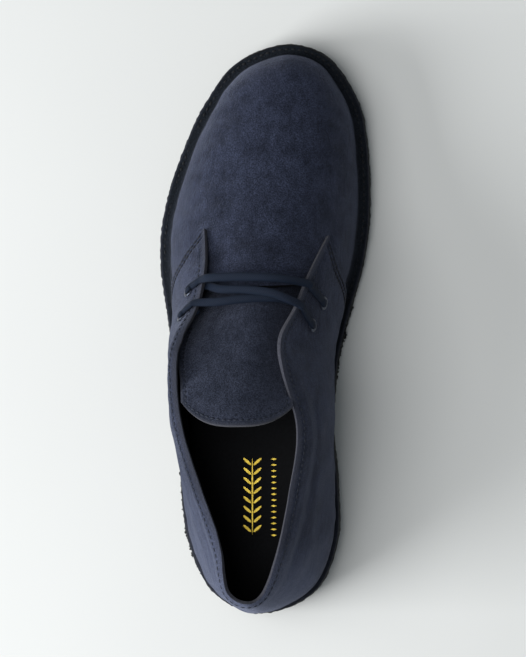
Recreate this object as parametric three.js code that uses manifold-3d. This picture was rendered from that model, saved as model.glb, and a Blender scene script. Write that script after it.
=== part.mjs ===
// A left chukka boot of suede: a vamp, high quarters with two pairs of eyelets, a wide tongue,
// a crepe sole with a heel lift, and a lace whose ends are tucked inside.
// Millimetres. +Z up, +Y towards the toe, +X towards the medial side (the inner side of a left
// foot). The origin is at the middle of the bounding box, on the floor.
//
// The form is a shoe last. Ribs stand around the feather line, where the upper meets the sole.
// Rib 0 is at the back of the heel, rib 14 at the tip of the toe, ribs 1 to 13 are lateral and
// ribs 15 to 27 medial, so that ribs 14 - a and 14 + a face each other across the shoe.
import * as THREE from "three";
import { mergeVertices } from "three/addons/utils/BufferGeometryUtils.js";
import Module from "manifold-3d";

const wasm = await Module();
wasm.setup();

// ---------------------------------------------------------------- driving dimensions
const GAP = 0.3; // between pieces that meet
const SUEDE = 2.2; // wall of the upper
const TONGUE_WALL = 2.0;
const CREPE = 9.0; // full length crepe sheet
const MIDSOLE = 3.0;
const INSOLE = 3.0;
const FLANGE = 1.8; // turned-out edge of the upper, stitched down on the midsole
const LIP_FRONT = 1.8; // crepe that shows outside the flange at the forefoot
const LIP_HEEL = 2.8; // and round the heel
const LAP = 1.8; // how far the quarter stands proud of the vamp at its front seam
const LACE = 3.4;
const TOE_RIB = 14;
const RIBS = 28;

// Outline of the sole, a row for each rib: its edge, and the margin from there in to the upper.
const OUTLINE_COLUMNS = ["x", "y", "margin"];
const OUTLINE = [
  [-2.0, -147.3, 3.3],
  [-26.5, -136.2, 3.3],
  [-39.3, -110.2, 3.2],
  [-43.3, -80.0, 3.3],
  [-44.4, -50.0, 4.0],
  [-47.2, -20.0, 5.2],
  [-49.6, -4.0, 5.9],
  [-51.9, 11.0, 6.4],
  [-54.7, 31.0, 6.8],
  [-54.4, 52.0, 6.8],
  [-49.4, 75.0, 6.8],
  [-41.0, 98.0, 6.8],
  [-31.0, 118.0, 6.8],
  [-15.0, 137.7, 6.8],
  [11.0, 147.3, 6.8],
  [33.5, 140.6, 6.8],
  [48.8, 118.5, 6.8],
  [53.4, 98.0, 6.8],
  [54.9, 75.0, 6.8],
  [54.3, 52.0, 6.8],
  [50.9, 31.0, 6.8],
  [45.3, 11.0, 6.2],
  [41.4, -4.0, 5.6],
  [38.2, -20.0, 4.8],
  [36.2, -50.0, 3.8],
  [38.7, -80.0, 3.2],
  [38.3, -110.0, 3.1],
  [26.3, -136.0, 3.2],
];

// Ridge of the vamp, a row for each pair of ribs from the toe back: the top of the last there,
// how steeply the wall starts, and how broad the shoulder is on each side.
const RIDGE_COLUMNS = ["x", "y", "z", "rise", "lateral", "medial"];
const RIDGE = [
  [9.0, 108.0, 48.8, 0.66, 0.62, 0.62],
  [8.8, 106.0, 49.2, 0.64, 0.6, 0.62],
  [8.4, 101.0, 50.3, 0.6, 0.56, 0.62],
  [7.6, 91.0, 52.6, 0.56, 0.52, 0.6],
  [6.4, 74.0, 57.2, 0.52, 0.5, 0.58],
  [4.8, 52.0, 64.5, 0.5, 0.5, 0.58],
  [2.6, 31.0, 74.0, 0.5, 0.5, 0.6],
  [0.2, 11.0, 85.0, 0.5, 0.5, 0.58],
  [-2.5, -4.0, 93.5, 0.5, 0.5, 0.5],
  [-5.0, -20.0, 102.0, 0.5, 0.5, 0.5],
];

// Top line of the quarters, a row for each rib that reaches it: the edge, how far the wall
// bellies out low down, and how far it still stands out just under the edge.
const TOPLINE_COLUMNS = ["rib", "x", "y", "z", "belly", "lean"];
const TOPLINE = [
  [9, -27.6, 51.0, 0.0, 0.0, 0.0],
  [8, -26.2, 30.5, 67.5, 0.0, 0.0],
  [7, -29.4, 11.3, 81.0, 0.0, 0.0],
  [6, -38.8, -4.5, 95.0, 3.0, 7.0],
  [5, -42.6, -19.5, 102.5, 3.5, 4.5],
  [4, -40.2, -49.0, 97.5, 3.5, 4.0],
  [3, -31.0, -80.0, 93.0, 3.2, 5.5],
  [2, -21.0, -108.5, 92.5, 1.8, 6.0],
  [1, -16.4, -129.6, 95.5, 0.4, 3.0],
  [0, -5.0, -136.4, 99.0, 3.0, 2.0],
  [27, 5.4, -130.4, 95.5, 1.6, 3.5],
  [26, 13.0, -109.0, 92.5, 2.2, 7.0],
  [25, 19.4, -80.0, 93.0, 6.0, 8.5],
  [24, 22.4, -49.5, 96.5, 10.5, 12.0],
  [23, 14.4, -20.5, 101.5, 9.5, 18.0],
  [22, 11.6, -5.0, 95.5, 6.0, 17.5],
  [21, 18.0, 10.5, 82.0, 3.5, 15.0],
  [20, 25.8, 30.5, 67.5, 0.0, 0.0],
  [19, 36.2, 51.0, 0.0, 0.0, 0.0],
];
const WALL_HANDLE = 0.36; // handle length of a rear wall, as a share of its height
const VAMP_BELLY = 1.6; // how far the vamp's wall bulges over its foot

// Height of the underside of the crepe sheet along the shoe: heel, waist, tread and toe spring.
const UNDERSIDE = [
  [-148.0, 11.4],
  [-52.0, 11.4],
  [-36.0, 9.2],
  [-12.0, 3.2],
  [8.0, 0.0],
  [90.0, 0.0],
  [112.0, 1.9],
  [131.0, 5.6],
  [148.0, 10.6],
];

// Where the quarter's front seam runs and the vamp's hidden back edge, counted in ribs from the toe.
const SEAM = { lateralTip: 5.15, medialTip: 5.35, foot: 6.9 };
const VAMP_BACK = { foot: 7.4, throat: 6.5 };
const HEEL_BREAST = 10.0;

// Sections of the tongue from under the vamp up to its end: middle, half widths and edge drops.
const TONGUE_COLUMNS = ["y", "x", "z", "lateral", "medial", "dropLateral", "dropMedial"];
const TONGUE = [
  [34.0, 2.4, 69.0, 16.0, 16.0, 5.0, 5.5],
  [14.0, 0.0, 79.0, 22.0, 19.0, 8.0, 9.0],
  [-4.0, -5.0, 89.5, 28.0, 21.5, 10.0, 13.5],
  [-22.0, -8.0, 100.5, 29.5, 23.0, 9.0, 14.0],
  [-47.0, -8.5, 113.5, 28.0, 26.5, 7.0, 9.0],
];
const TONGUE_ROUND = { lateral: 10.0, medial: 5.0 }; // how far the corners of its end are drawn back

// Eyelets: their rib and their height up the quarter's wall, from 0 at its foot to 1 at its edge.
const EYELETS = [
  { name: "eyelet_lateral_lower", rib: 7.34, height: 0.83 },
  { name: "eyelet_lateral_upper", rib: 6.62, height: 0.84 },
  { name: "eyelet_medial_lower", rib: 20.82, height: 0.72 },
  { name: "eyelet_medial_upper", rib: 21.47, height: 0.76 },
];
const EYELET = { bore: 1.9, barrel: 2.4, flange: 3.6, seat: 0.5, proud: 1.1, depth: 2.2 };

// Routes of the lace between the eyelets.
const LACE_BAR = [
  [-38.2, 19.2, 72.2],
  [-33.8, 22.4, 76.6],
  [-27.4, 24.2, 80.4],
  [-14.0, 24.6, 83.8],
  [0.0, 24.4, 85.4],
  [12.0, 23.8, 84.4],
  [20.4, 22.6, 81.4],
  [26.2, 20.6, 77.2],
  [30.0, 17.0, 72.0],
  [32.6, 14.4, 67.6],
  [34.9, 12.0, 63.4],
];
const LACE_OVER = [
  [-24.5, 17.6, 78.6],
  [-16.0, 18.6, 83.8],
  [-4.0, 18.4, 87.4],
  [6.0, 17.0, 88.2],
  [14.0, 14.6, 87.8],
  [20.6, 12.6, 85.4],
  [24.6, 9.0, 81.0],
  [26.8, 5.4, 77.2],
  [28.4, 3.0, 74.2],
  [29.5, 1.4, 72.2],
];
const LACE_UNDER = [
  [-41.0, 7.4, 78.4],
  [-38.6, 9.4, 81.2],
  [-34.2, 11.2, 84.8],
  [-28.6, 12.0, 86.8],
  [-21.0, 12.6, 87.8],
  [-10.0, 13.8, 88.8],
  [1.0, 14.8, 88.8],
  [8.0, 15.2, 88.2],
];

const LOOK = {
  suede: { color: 0x2b3040, roughness: 0.95, metalness: 0 },
  crepe: { color: 0x16191c, roughness: 0.9, metalness: 0 },
  midsole: { color: 0x191c26, roughness: 0.9, metalness: 0 },
  insole: { color: 0x0b0c0e, roughness: 0.6, metalness: 0 },
  lace: { color: 0x1a2434, roughness: 0.85, metalness: 0 },
  eyelet: { color: 0x3c4250, roughness: 0.4, metalness: 0.9 },
};

// ---------------------------------------------------------------- curves
const V = (x, y, z = 0) => new THREE.Vector3(x, y, z);
const UP = V(0, 0, 1);
const lerp = THREE.MathUtils.lerp;
const smoothstep = THREE.MathUtils.smoothstep;

// A row of a table as an object, by its column names.
const named = (columns, row) => Object.fromEntries(columns.map((c, i) => [c, row[i]]));

// Catmull-Rom weights of four neighbours at share f between the middle two.
function splineWeights(f) {
  const f2 = f * f;
  const f3 = f2 * f;
  return [
    (-f3 + 2 * f2 - f) / 2,
    (3 * f3 - 5 * f2 + 2) / 2,
    (-3 * f3 + 4 * f2 + f) / 2,
    (f3 - f2) / 2,
  ];
}

// Point at parameter t on the curve through pick(i), where pick is asked for whole numbers.
function splinePoint(pick, t) {
  const i = Math.floor(t);
  const weights = splineWeights(t - i);
  const sum = V(0, 0, 0);
  weights.forEach((w, k) => sum.addScaledVector(pick(i - 1 + k), w));
  return sum;
}

// Smooth height at y through a table of [y, z] rows, level wherever two rows are level.
function profile(rows, y) {
  const last = rows.length - 1;
  const at = THREE.MathUtils.clamp(y, rows[0][0], rows[last][0]);
  let i = rows.findIndex((r, k) => k < last && at <= rows[k + 1][0]);
  if (i < 0) i = last - 1;
  const chord = (k) => (rows[k + 1][1] - rows[k][1]) / (rows[k + 1][0] - rows[k][0]);
  const slope = (k) => {
    const before = chord(Math.max(k - 1, 0));
    const after = chord(Math.min(k, last - 1));
    return before * after <= 0 ? 0 : (2 * before * after) / (before + after);
  };
  const width = rows[i + 1][0] - rows[i][0];
  const f = (at - rows[i][0]) / width;
  const rise = f * f * (3 - 2 * f);
  return (
    lerp(rows[i][1], rows[i + 1][1], rise) +
    width * (f * (1 - f) * (1 - f) * slope(i) - f * f * (1 - f) * slope(i + 1))
  );
}

function bezier([a, b, c, d], u) {
  const v = 1 - u;
  return a
    .clone()
    .multiplyScalar(v * v * v)
    .addScaledVector(b, 3 * u * v * v)
    .addScaledVector(c, 3 * u * u * v)
    .addScaledVector(d, u * u * u);
}

// The part of a Bezier curve before u, as the control points of its own curve.
function bezierStart([a, b, c, d], u) {
  const ab = a.clone().lerp(b, u);
  const bc = b.clone().lerp(c, u);
  const cd = c.clone().lerp(d, u);
  const abc = ab.clone().lerp(bc, u);
  return [a, ab, abc, abc.clone().lerp(bc.clone().lerp(cd, u), u)];
}

// ---------------------------------------------------------------- heights of the sole
const underside = (y) => profile(UNDERSIDE, y);
const crepeTop = (y) => underside(y) + CREPE;
const midsoleBottom = (y) => crepeTop(y) + GAP;
const midsoleTop = (y) => midsoleBottom(y) + MIDSOLE;
const upperFoot = (y) => midsoleTop(y) + GAP;

// ---------------------------------------------------------------- outline and feather line
const outlineRows = OUTLINE.map((row) => named(OUTLINE_COLUMNS, row));
const wrap = (i) => ((i % RIBS) + RIBS) % RIBS;
const solePick = (i) => V(outlineRows[wrap(i)].x, outlineRows[wrap(i)].y);

// Outward direction, in plan, of the closed curve through pick at t.
function outward(pick, t) {
  const step = 0.02;
  const along = splinePoint(pick, t + step).sub(splinePoint(pick, t - step));
  return V(-along.y, along.x).normalize();
}
const offsetPoint = (pick, t, out) =>
  splinePoint(pick, t).addScaledVector(outward(pick, t), out);

const feet = outlineRows.map((row, i) => offsetPoint(solePick, i, -row.margin));
const footPick = (i) => feet[wrap(i)];
const solePoint = (t, inset) => offsetPoint(solePick, t, -inset);
const footPoint = (t, inset) => offsetPoint(footPick, t, -inset);
const standing = (p, height) => V(p.x, p.y, height(p.y));

// ---------------------------------------------------------------- the vamp's surface
const ridgeRows = RIDGE.map((row) => named(RIDGE_COLUMNS, row));
const LAST_PAIR = ridgeRows.length - 1;

// Slope of the ridge at a pair of ribs, as rise for each millimetre towards the toe.
function ridgeSlope(pair) {
  const front = ridgeRows[Math.max(pair - 1, 0)];
  const back = ridgeRows[Math.min(pair + 1, LAST_PAIR)];
  return (front.z - back.z) / (front.y - back.y);
}

// Control points of one rib of the vamp: from its foot, up the wall, over the shoulder, to the ridge.
function vampRib(rib) {
  const pair = Math.min(Math.abs(rib - TOE_RIB), LAST_PAIR);
  const row = ridgeRows[pair];
  const foot = standing(footPick(rib), upperFoot);
  const ridge = V(row.x, row.y, row.z);
  const shoulder = rib < TOE_RIB ? row.lateral : row.medial;
  const wall = foot
    .clone()
    .addScaledVector(UP, row.rise * (ridge.z - foot.z))
    .addScaledVector(outward(solePick, rib), VAMP_BELLY);
  const top = ridge.clone().lerp(foot, shoulder);
  top.z = ridge.z + ridgeSlope(pair) * (top.y - ridge.y);
  return [foot, wall, top, ridge];
}
const vampRibs = new Map();
for (let rib = TOE_RIB - LAST_PAIR; rib <= TOE_RIB + LAST_PAIR; rib++) vampRibs.set(rib, vampRib(rib));

// Control points with their foot put down on the midsole.
function grounded(controls) {
  controls[0].z = upperFoot(controls[0].y);
  return controls;
}

// Point on the vamp at rib t and share u of the way from its foot to the ridge.
function vampPoint(t, u) {
  const clamp = (i) => THREE.MathUtils.clamp(i, TOE_RIB - LAST_PAIR, TOE_RIB + LAST_PAIR);
  const controls = [0, 1, 2, 3].map((k) => splinePoint((i) => vampRibs.get(clamp(i))[k], t));
  return bezier(grounded(controls), u);
}

// ---------------------------------------------------------------- the quarters' surface
const toplineRows = new Map(TOPLINE.map((row) => [row[0], named(TOPLINE_COLUMNS, row)]));

// Share of the way to the ridge at which a rib of the vamp passes over x.
function shareAtX(rib, x) {
  let low = 0.3;
  let high = 1;
  for (let i = 0; i < 30; i++) {
    const middle = (low + high) / 2;
    const beyond = (bezier(rib, middle).x - x) * Math.sign(rib[3].x - rib[0].x) > 0;
    if (beyond) high = middle;
    else low = middle;
  }
  return (low + high) / 2;
}

// Control points of one rib of the quarters. At the front it lies on the vamp, and its free edge
// lifts off; from the eyelets back it is a wall of its own.
function quarterRib(rib) {
  const row = toplineRows.get(rib);
  const out = outward(solePick, rib);
  if (vampRibs.has(rib) && row.belly === 0) {
    const start = bezierStart(vampRibs.get(rib), shareAtX(vampRibs.get(rib), row.x));
    if (row.z === 0) return start;
    const lift = V(row.x, row.y, row.z).sub(start[3]);
    return [start[0], start[1], start[2].add(lift), start[3].add(lift)];
  }
  const foot = standing(footPick(rib), upperFoot);
  const edge = V(row.x, row.y, row.z);
  const handle = WALL_HANDLE * (edge.z - foot.z);
  return [
    foot,
    foot.clone().addScaledVector(UP, handle).addScaledVector(out, row.belly),
    edge.clone().addScaledVector(UP, -handle).addScaledVector(out, row.lean),
    edge,
  ];
}
const quarterRibs = new Map(TOPLINE.map((row) => [row[0], quarterRib(row[0])]));

// Point on the quarters at rib t, counted on past 27 for the lateral side, and height s.
function quarterPoint(t, s) {
  const first = TOE_RIB + Math.floor(SEAM.medialTip);
  const last = TOE_RIB + RIBS - Math.floor(SEAM.lateralTip);
  const pick = (k) => (i) => quarterRibs.get(wrap(THREE.MathUtils.clamp(i, first, last)))[k];
  return bezier(grounded([0, 1, 2, 3].map((k) => splinePoint(pick(k), t))), s);
}

// Outward unit normal of surface(t, s) by differences. side is 1 where t runs forwards up the
// lateral side and round to the medial side, as it does on every surface here.
function normalOf(surface, t, s) {
  const step = 0.02;
  const alongT = surface(t + step, s).sub(surface(t - step, s));
  const low = Math.max(s - step, 0);
  const high = Math.min(s + step, 1);
  const alongS = surface(t, high).sub(surface(t, low));
  return alongS.cross(alongT).normalize();
}

// ---------------------------------------------------------------- closed meshes
// A closed mesh from triangles of points: shared corners are merged and empty triangles dropped.
function meshOf(triangles) {
  const loose = new THREE.BufferGeometry();
  const flat = triangles.flatMap((tri) => tri.flatMap((p) => [p.x, p.y, p.z]));
  loose.setAttribute("position", new THREE.Float32BufferAttribute(flat, 3));
  const merged = mergeVertices(loose, 1e-3);
  const index = merged.index.array;
  const kept = [];
  for (let i = 0; i < index.length; i += 3) {
    const [a, b, c] = [index[i], index[i + 1], index[i + 2]];
    if (a !== b && b !== c && a !== c) kept.push(a, b, c);
  }
  merged.setIndex(kept);
  return merged;
}

// Triangles between the points of a grid, grid[row][column].
function gridTriangles(grid, flip = false) {
  const triangles = [];
  for (let r = 0; r + 1 < grid.length; r++) {
    for (let c = 0; c + 1 < grid[r].length; c++) {
      const [a, b] = [grid[r][c], grid[r][c + 1]];
      const [d, e] = [grid[r + 1][c], grid[r + 1][c + 1]];
      if (flip) triangles.push([a, d, b], [b, d, e]);
      else triangles.push([a, b, d], [b, e, d]);
    }
  }
  return triangles;
}

// A sheet between two grids of the same size, outer and inner, closed round its rim. A folded
// sheet has a first row that doubles back on itself, and needs no rim there.
function sheet(outer, inner, folded = false) {
  const rows = outer.length - 1;
  const columns = outer[0].length - 1;
  const rim = [];
  const step = (r, c, r2, c2) => rim.push(...gridTriangles([
    [outer[r][c], outer[r2][c2]],
    [inner[r][c], inner[r2][c2]],
  ], true));
  for (let c = 0; c < columns; c++) {
    if (!folded) step(0, c, 0, c + 1);
    step(rows, c + 1, rows, c);
  }
  for (let r = 0; r < rows; r++) {
    step(r, columns, r + 1, columns);
    step(r + 1, 0, r, 0);
  }
  return meshOf([...gridTriangles(outer), ...gridTriangles(inner, true), ...rim]);
}

function solidOf(geometry) {
  const flat = geometry.clone();
  flat.deleteAttribute("normal");
  flat.deleteAttribute("uv");
  const merged = mergeVertices(flat, 1e-3);
  return new wasm.Manifold(
    new wasm.Mesh({
      numProp: 3,
      vertProperties: new Float32Array(merged.attributes.position.array),
      triVerts: new Uint32Array(merged.index.array),
    }),
  );
}

function geometryOf(solid) {
  const made = solid.getMesh();
  const geometry = new THREE.BufferGeometry();
  geometry.setAttribute("position", new THREE.BufferAttribute(made.vertProperties, 3));
  geometry.setIndex(new THREE.BufferAttribute(made.triVerts, 1));
  geometry.computeVertexNormals();
  return geometry;
}

// ---------------------------------------------------------------- slabs of the sole
// A layer across the shoe from pair of ribs a0 back to a1. Each side loop gives a point at rib t:
// the first loop is the bottom edge, the last the top edge.
function slab(a0, a1, steps, across, loops) {
  const pairs = Array.from({ length: steps + 1 }, (_, i) => lerp(a0, a1, i / steps));
  const rung = ({ point, height }, a) => {
    const lateral = point(TOE_RIB - a);
    const medial = point(TOE_RIB + a);
    const share = Array.from({ length: across + 1 }, (_, i) => i / across);
    return share.map((f) => standing(lateral.clone().lerp(medial, f), height));
  };
  const wall = (side) =>
    pairs.map((a) => loops.map(({ point, height }) => standing(point(TOE_RIB + side * a), height)));
  const triangles = [
    ...gridTriangles(pairs.map((a) => rung(loops[0], a))),
    ...gridTriangles(pairs.map((a) => rung(loops.at(-1), a)), true),
    ...gridTriangles(wall(-1), true),
    ...gridTriangles(wall(1)),
  ];
  if (a0 > 0) triangles.push(...gridTriangles(loops.map((loop) => rung(loop, a0)), true));
  return meshOf(triangles);
}

function outsole() {
  const edge = (inset) => (t) => solePoint(t, inset);
  return slab(0, TOE_RIB, 42, 2, [
    { point: edge(1.0), height: underside },
    { point: edge(0.0), height: (y) => underside(y) + 0.14 * CREPE },
    { point: edge(0.0), height: (y) => underside(y) + 0.85 * CREPE },
    { point: edge(0.5), height: crepeTop },
  ]);
}

function heelLift() {
  const top = (y) => underside(y) - GAP;
  const edge = (inset) => (t) => solePoint(t, inset);
  return slab(HEEL_BREAST, TOE_RIB, 16, 2, [
    { point: edge(2.0), height: () => 0 },
    { point: edge(1.0), height: () => 1.4 },
    { point: edge(0.4), height: (y) => top(y) - 1.0 },
    { point: edge(0.9), height: top },
  ]);
}

function midsole() {
  return slab(0, TOE_RIB, 42, 2, [
    { point: (t) => solePoint(t, 0.6), height: midsoleBottom },
    { point: (t) => solePoint(t, 0.9), height: midsoleTop },
  ]);
}

function insole() {
  const inset = SUEDE + 2 * GAP;
  const bottom = upperFoot;
  return slab(0, TOE_RIB, 42, 2, [
    { point: (t) => footPoint(t, inset), height: bottom },
    { point: (t) => footPoint(t, inset + 0.4), height: (y) => bottom(y) + INSOLE },
  ]);
}

// ---------------------------------------------------------------- the upper
// Lip of crepe left outside the flange, which widens from the forefoot to the heel.
const soleLip = (y) => lerp(LIP_HEEL, LIP_FRONT, smoothstep(y, -70, 0));

// The turned-out edge: a ring on the midsole from inside the wall out to the lip.
function flangeRing() {
  const steps = RIBS * 3;
  const rows = [];
  for (let i = 0; i <= steps; i++) {
    const t = (i % steps) / 3;
    const inner = footPoint(t, SUEDE / 2);
    const outer = solePoint(t, soleLip(splinePoint(solePick, t).y));
    const low = upperFoot(outer.y);
    rows.push([
      V(inner.x, inner.y, upperFoot(inner.y)),
      V(outer.x, outer.y, low),
      V(outer.x, outer.y, low + FLANGE),
      V(inner.x, inner.y, upperFoot(inner.y) + FLANGE),
      V(inner.x, inner.y, upperFoot(inner.y)),
    ]);
  }
  return meshOf(gridTriangles(rows));
}

// A point of the upper kept from reaching down into the midsole.
const seated = (p) => V(p.x, p.y, Math.max(p.z, upperFoot(p.y)));

// The vamp: each row runs from foot over the ridge to foot, and the rows go from the toe back.
function vampSheet() {
  const across = 9;
  const rows = 26;
  const outer = [];
  const inner = [];
  for (let r = 0; r <= rows; r++) {
    const outerRow = [];
    const innerRow = [];
    for (let c = 0; c <= 2 * across; c++) {
      const lateral = c <= across;
      const u = (lateral ? c : 2 * across - c) / across;
      const back = lerp(VAMP_BACK.foot, VAMP_BACK.throat, smoothstep(u, 0, 0.6));
      const pair = (back * r) / rows;
      const t = TOE_RIB + (lateral ? -pair : pair);
      const point = vampPoint(t, u);
      const whole = Math.min(Math.floor(pair), LAST_PAIR - 1);
      const slope = lerp(ridgeSlope(whole), ridgeSlope(whole + 1), pair - whole);
      const normal = u === 1 ? V(0, -slope, 1).normalize() : normalOf(vampPoint, t, u);
      outerRow.push(seated(point));
      innerRow.push(seated(point.clone().addScaledVector(normal, -SUEDE)));
    }
    outer.push(outerRow);
    inner.push(innerRow);
  }
  return sheet(inner, outer, true);
}

// How far the quarter's outside stands off its surface: proud over the vamp, flush behind it.
const quarterLap = (pair) => LAP * (1 - smoothstep(pair, 7.0, 9.0));

// The quarter at share q of the way round from the medial seam over the heel to the lateral
// seam, and height s. The seam slants: its tip is further forward than its foot.
function quarterPlace(q, s) {
  const medial = TOE_RIB + lerp(SEAM.foot, SEAM.medialTip, s);
  const lateral = TOE_RIB - lerp(SEAM.foot, SEAM.lateralTip, s);
  return lerp(medial, lateral + RIBS, q);
}
function quarterOuter(t, s) {
  const pair = Math.min(t - TOE_RIB, TOE_RIB + RIBS - t);
  return quarterPoint(t, s).addScaledVector(normalOf(quarterPoint, t, s), quarterLap(pair));
}

function quarterSheet() {
  const round = 58;
  const up = 8;
  const outer = [];
  const inner = [];
  for (let r = 0; r <= round; r++) {
    const outerRow = [];
    const innerRow = [];
    for (let c = 0; c <= up; c++) {
      const s = c / up;
      const t = quarterPlace(r / round, s);
      const point = quarterOuter(t, s);
      outerRow.push(seated(point));
      innerRow.push(seated(point.clone().addScaledVector(normalOf(quarterPoint, t, s), -SUEDE)));
    }
    outer.push(outerRow);
    inner.push(innerRow);
  }
  return sheet(outer, inner);
}

// Place of an eyelet: its centre on the outside of the quarter, turned to face out.
function eyeletMatrix({ rib, height }) {
  const t = rib < TOE_RIB ? rib + RIBS : rib;
  const normal = normalOf(quarterPoint, t, height);
  const turn = new THREE.Quaternion().setFromUnitVectors(UP, normal);
  return new THREE.Matrix4().compose(quarterOuter(t, height), turn, V(1, 1, 1));
}

function upper() {
  let shell = solidOf(vampSheet()).add(solidOf(quarterSheet())).add(solidOf(flangeRing()));
  for (const eyelet of EYELETS) {
    const hole = new THREE.CylinderGeometry(EYELET.barrel + GAP, EYELET.barrel + GAP, 12, 12);
    hole.rotateX(Math.PI / 2).applyMatrix4(eyeletMatrix(eyelet));
    shell = shell.subtract(solidOf(hole));
  }
  return geometryOf(shell.simplify(0.05));
}

function eyeletRing() {
  const { bore, barrel, flange, seat, proud, depth } = EYELET;
  const section = [
    [bore, -depth],
    [barrel, -depth],
    [barrel, seat],
    [flange, seat],
    [flange - 0.4, proud],
    [bore + 0.5, proud],
    [bore, proud - 0.4],
    [bore, -depth],
  ].map(([r, z]) => new THREE.Vector2(r, z));
  return new THREE.LatheGeometry(section, 12).rotateX(Math.PI / 2);
}

// ---------------------------------------------------------------- tongue
const tongueRows = TONGUE.map((row) => named(TONGUE_COLUMNS, row));

// Point on the tongue: w from 0 under the vamp to 1 at its end, v from -1 lateral to 1 medial.
function tonguePoint(w, v) {
  const last = tongueRows.length - 1;
  const at = w * last;
  const column = (name) => {
    const pick = (i) => V(tongueRows[THREE.MathUtils.clamp(i, 0, last)][name], 0);
    return splinePoint(pick, Math.min(at, last - 1e-9)).x;
  };
  const half = column(v < 0 ? "lateral" : "medial");
  const drop = column(v < 0 ? "dropLateral" : "dropMedial");
  const corner = v < 0 ? TONGUE_ROUND.lateral : TONGUE_ROUND.medial;
  const back = corner * Math.abs(v) ** 3 * smoothstep(w, 0.3, 1);
  const rise = 0.45 * back;
  return V(column("x") + v * half, column("y") + back, column("z") - drop * v * v - rise);
}

function tongue() {
  const along = 12;
  const across = 10;
  const outer = [];
  const inner = [];
  const step = 0.01;
  for (let r = 0; r <= along; r++) {
    const outerRow = [];
    const innerRow = [];
    for (let c = 0; c <= across; c++) {
      const [w, v] = [r / along, (2 * c) / across - 1];
      const point = tonguePoint(w, v);
      const alongW = tonguePoint(Math.min(w + step, 1), v).sub(tonguePoint(Math.max(w - step, 0), v));
      const alongV = tonguePoint(w, Math.min(v + step, 1)).sub(tonguePoint(w, Math.max(v - step, -1)));
      const normal = alongW.cross(alongV).normalize();
      outerRow.push(point);
      innerRow.push(point.clone().addScaledVector(normal, -TONGUE_WALL));
    }
    outer.push(outerRow);
    inner.push(innerRow);
  }
  return sheet(inner, outer);
}

// ---------------------------------------------------------------- lace
function cordAlong(route, steps) {
  const circle = new THREE.Shape().absarc(0, 0, LACE / 2, 0, 2 * Math.PI);
  const path = new THREE.CatmullRomCurve3(route.map(([x, y, z]) => V(x, y, z)));
  return new THREE.ExtrudeGeometry(circle, { extrudePath: path, steps, curveSegments: 8 });
}
const laceBar = () => cordAlong(LACE_BAR, 14);
const laceCrossing = () =>
  geometryOf(solidOf(cordAlong(LACE_OVER, 11)).add(solidOf(cordAlong(LACE_UNDER, 11))));

// ---------------------------------------------------------------- assembly
const boot = new THREE.Group();
function addPiece(name, geometry, look) {
  const piece = new THREE.Mesh(geometry, new THREE.MeshStandardMaterial(LOOK[look]));
  piece.name = name;
  boot.add(piece);
  return piece;
}

addPiece("outsole", outsole(), "crepe");
addPiece("heel_lift", heelLift(), "crepe");
addPiece("midsole", midsole(), "midsole");
addPiece("insole", insole(), "insole");
addPiece("upper", upper(), "suede");
addPiece("tongue", tongue(), "suede");
addPiece("lace_bar", laceBar(), "lace");
addPiece("lace_crossing", laceCrossing(), "lace");
for (const eyelet of EYELETS) {
  addPiece(eyelet.name, eyeletRing(), "eyelet").applyMatrix4(eyeletMatrix(eyelet));
}

export default boot;
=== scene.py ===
# %% [markdown]
# # A left chukka boot in navy suede
#
# This lesson builds the looks of one boot around its measured solids. The solids are loaded
# first and stay where they are. Each soft or rough piece is then modelled again with a finer
# surface, takes the place of its solid, and gets its own finish. Everything is in metres here,
# though the shoemaker's tables below are in millimetres, because lasts are measured that way.

# %% Load the solids
import math

import bpy
import numpy as np
from mathutils import Matrix, Vector


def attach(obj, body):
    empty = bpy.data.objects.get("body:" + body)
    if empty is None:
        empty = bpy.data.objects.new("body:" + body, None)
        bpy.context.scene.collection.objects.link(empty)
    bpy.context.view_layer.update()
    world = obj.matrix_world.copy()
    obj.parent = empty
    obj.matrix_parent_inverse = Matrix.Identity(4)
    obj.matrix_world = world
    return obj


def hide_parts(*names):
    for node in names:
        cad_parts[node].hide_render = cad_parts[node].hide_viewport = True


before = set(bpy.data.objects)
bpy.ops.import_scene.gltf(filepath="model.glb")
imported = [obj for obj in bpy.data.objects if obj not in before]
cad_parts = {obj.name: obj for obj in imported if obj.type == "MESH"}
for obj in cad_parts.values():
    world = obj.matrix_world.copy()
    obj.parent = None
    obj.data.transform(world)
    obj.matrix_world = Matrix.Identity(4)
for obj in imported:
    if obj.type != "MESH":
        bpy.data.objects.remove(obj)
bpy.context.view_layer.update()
MM = 0.001
print("solids:", ", ".join(sorted(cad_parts)))

# %% [markdown]
# ## Camera, floor and light
#
# The boot is seen from straight above, toe upwards, by a long lens a little over a metre away.
# The camera stands slightly to the medial side of the boot and looks back at it, so the medial
# wall shows more than the lateral one. Its turn is built from three directions, because a
# tracking constraint can't tell which way is up when it looks at the floor.

# %% Camera
CAMERA_AT = Vector((0.0606, -0.0092, 1.300))
LOOK_AT = Vector((0.0, 0.0, 0.030))
LENS_MM = 136.0


def add_camera():
    view = (LOOK_AT - CAMERA_AT).normalized()
    right = view.cross(Vector((0, 1, 0))).normalized()
    up = right.cross(view)
    data = bpy.data.cameras.new("camera")
    data.sensor_fit = "VERTICAL"
    data.sensor_height = 36.0
    data.lens = LENS_MM
    camera = bpy.data.objects.new("camera", data)
    bpy.context.scene.collection.objects.link(camera)
    turn = Matrix((right, up, -view)).transposed().to_4x4()
    camera.matrix_world = Matrix.Translation(CAMERA_AT) @ turn
    bpy.context.scene.camera = camera
    return camera


camera = add_camera()
print("camera at", [round(v, 3) for v in camera.location], "lens", LENS_MM, "mm")

# %% [markdown]
# A finish is a small tree of nodes. These helpers make a new material with a Principled shader
# and add nodes to it by name. Colours are written as a painter reads them off a chart, from 0
# to 255, and turned into the linear values that Blender works with.

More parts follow.
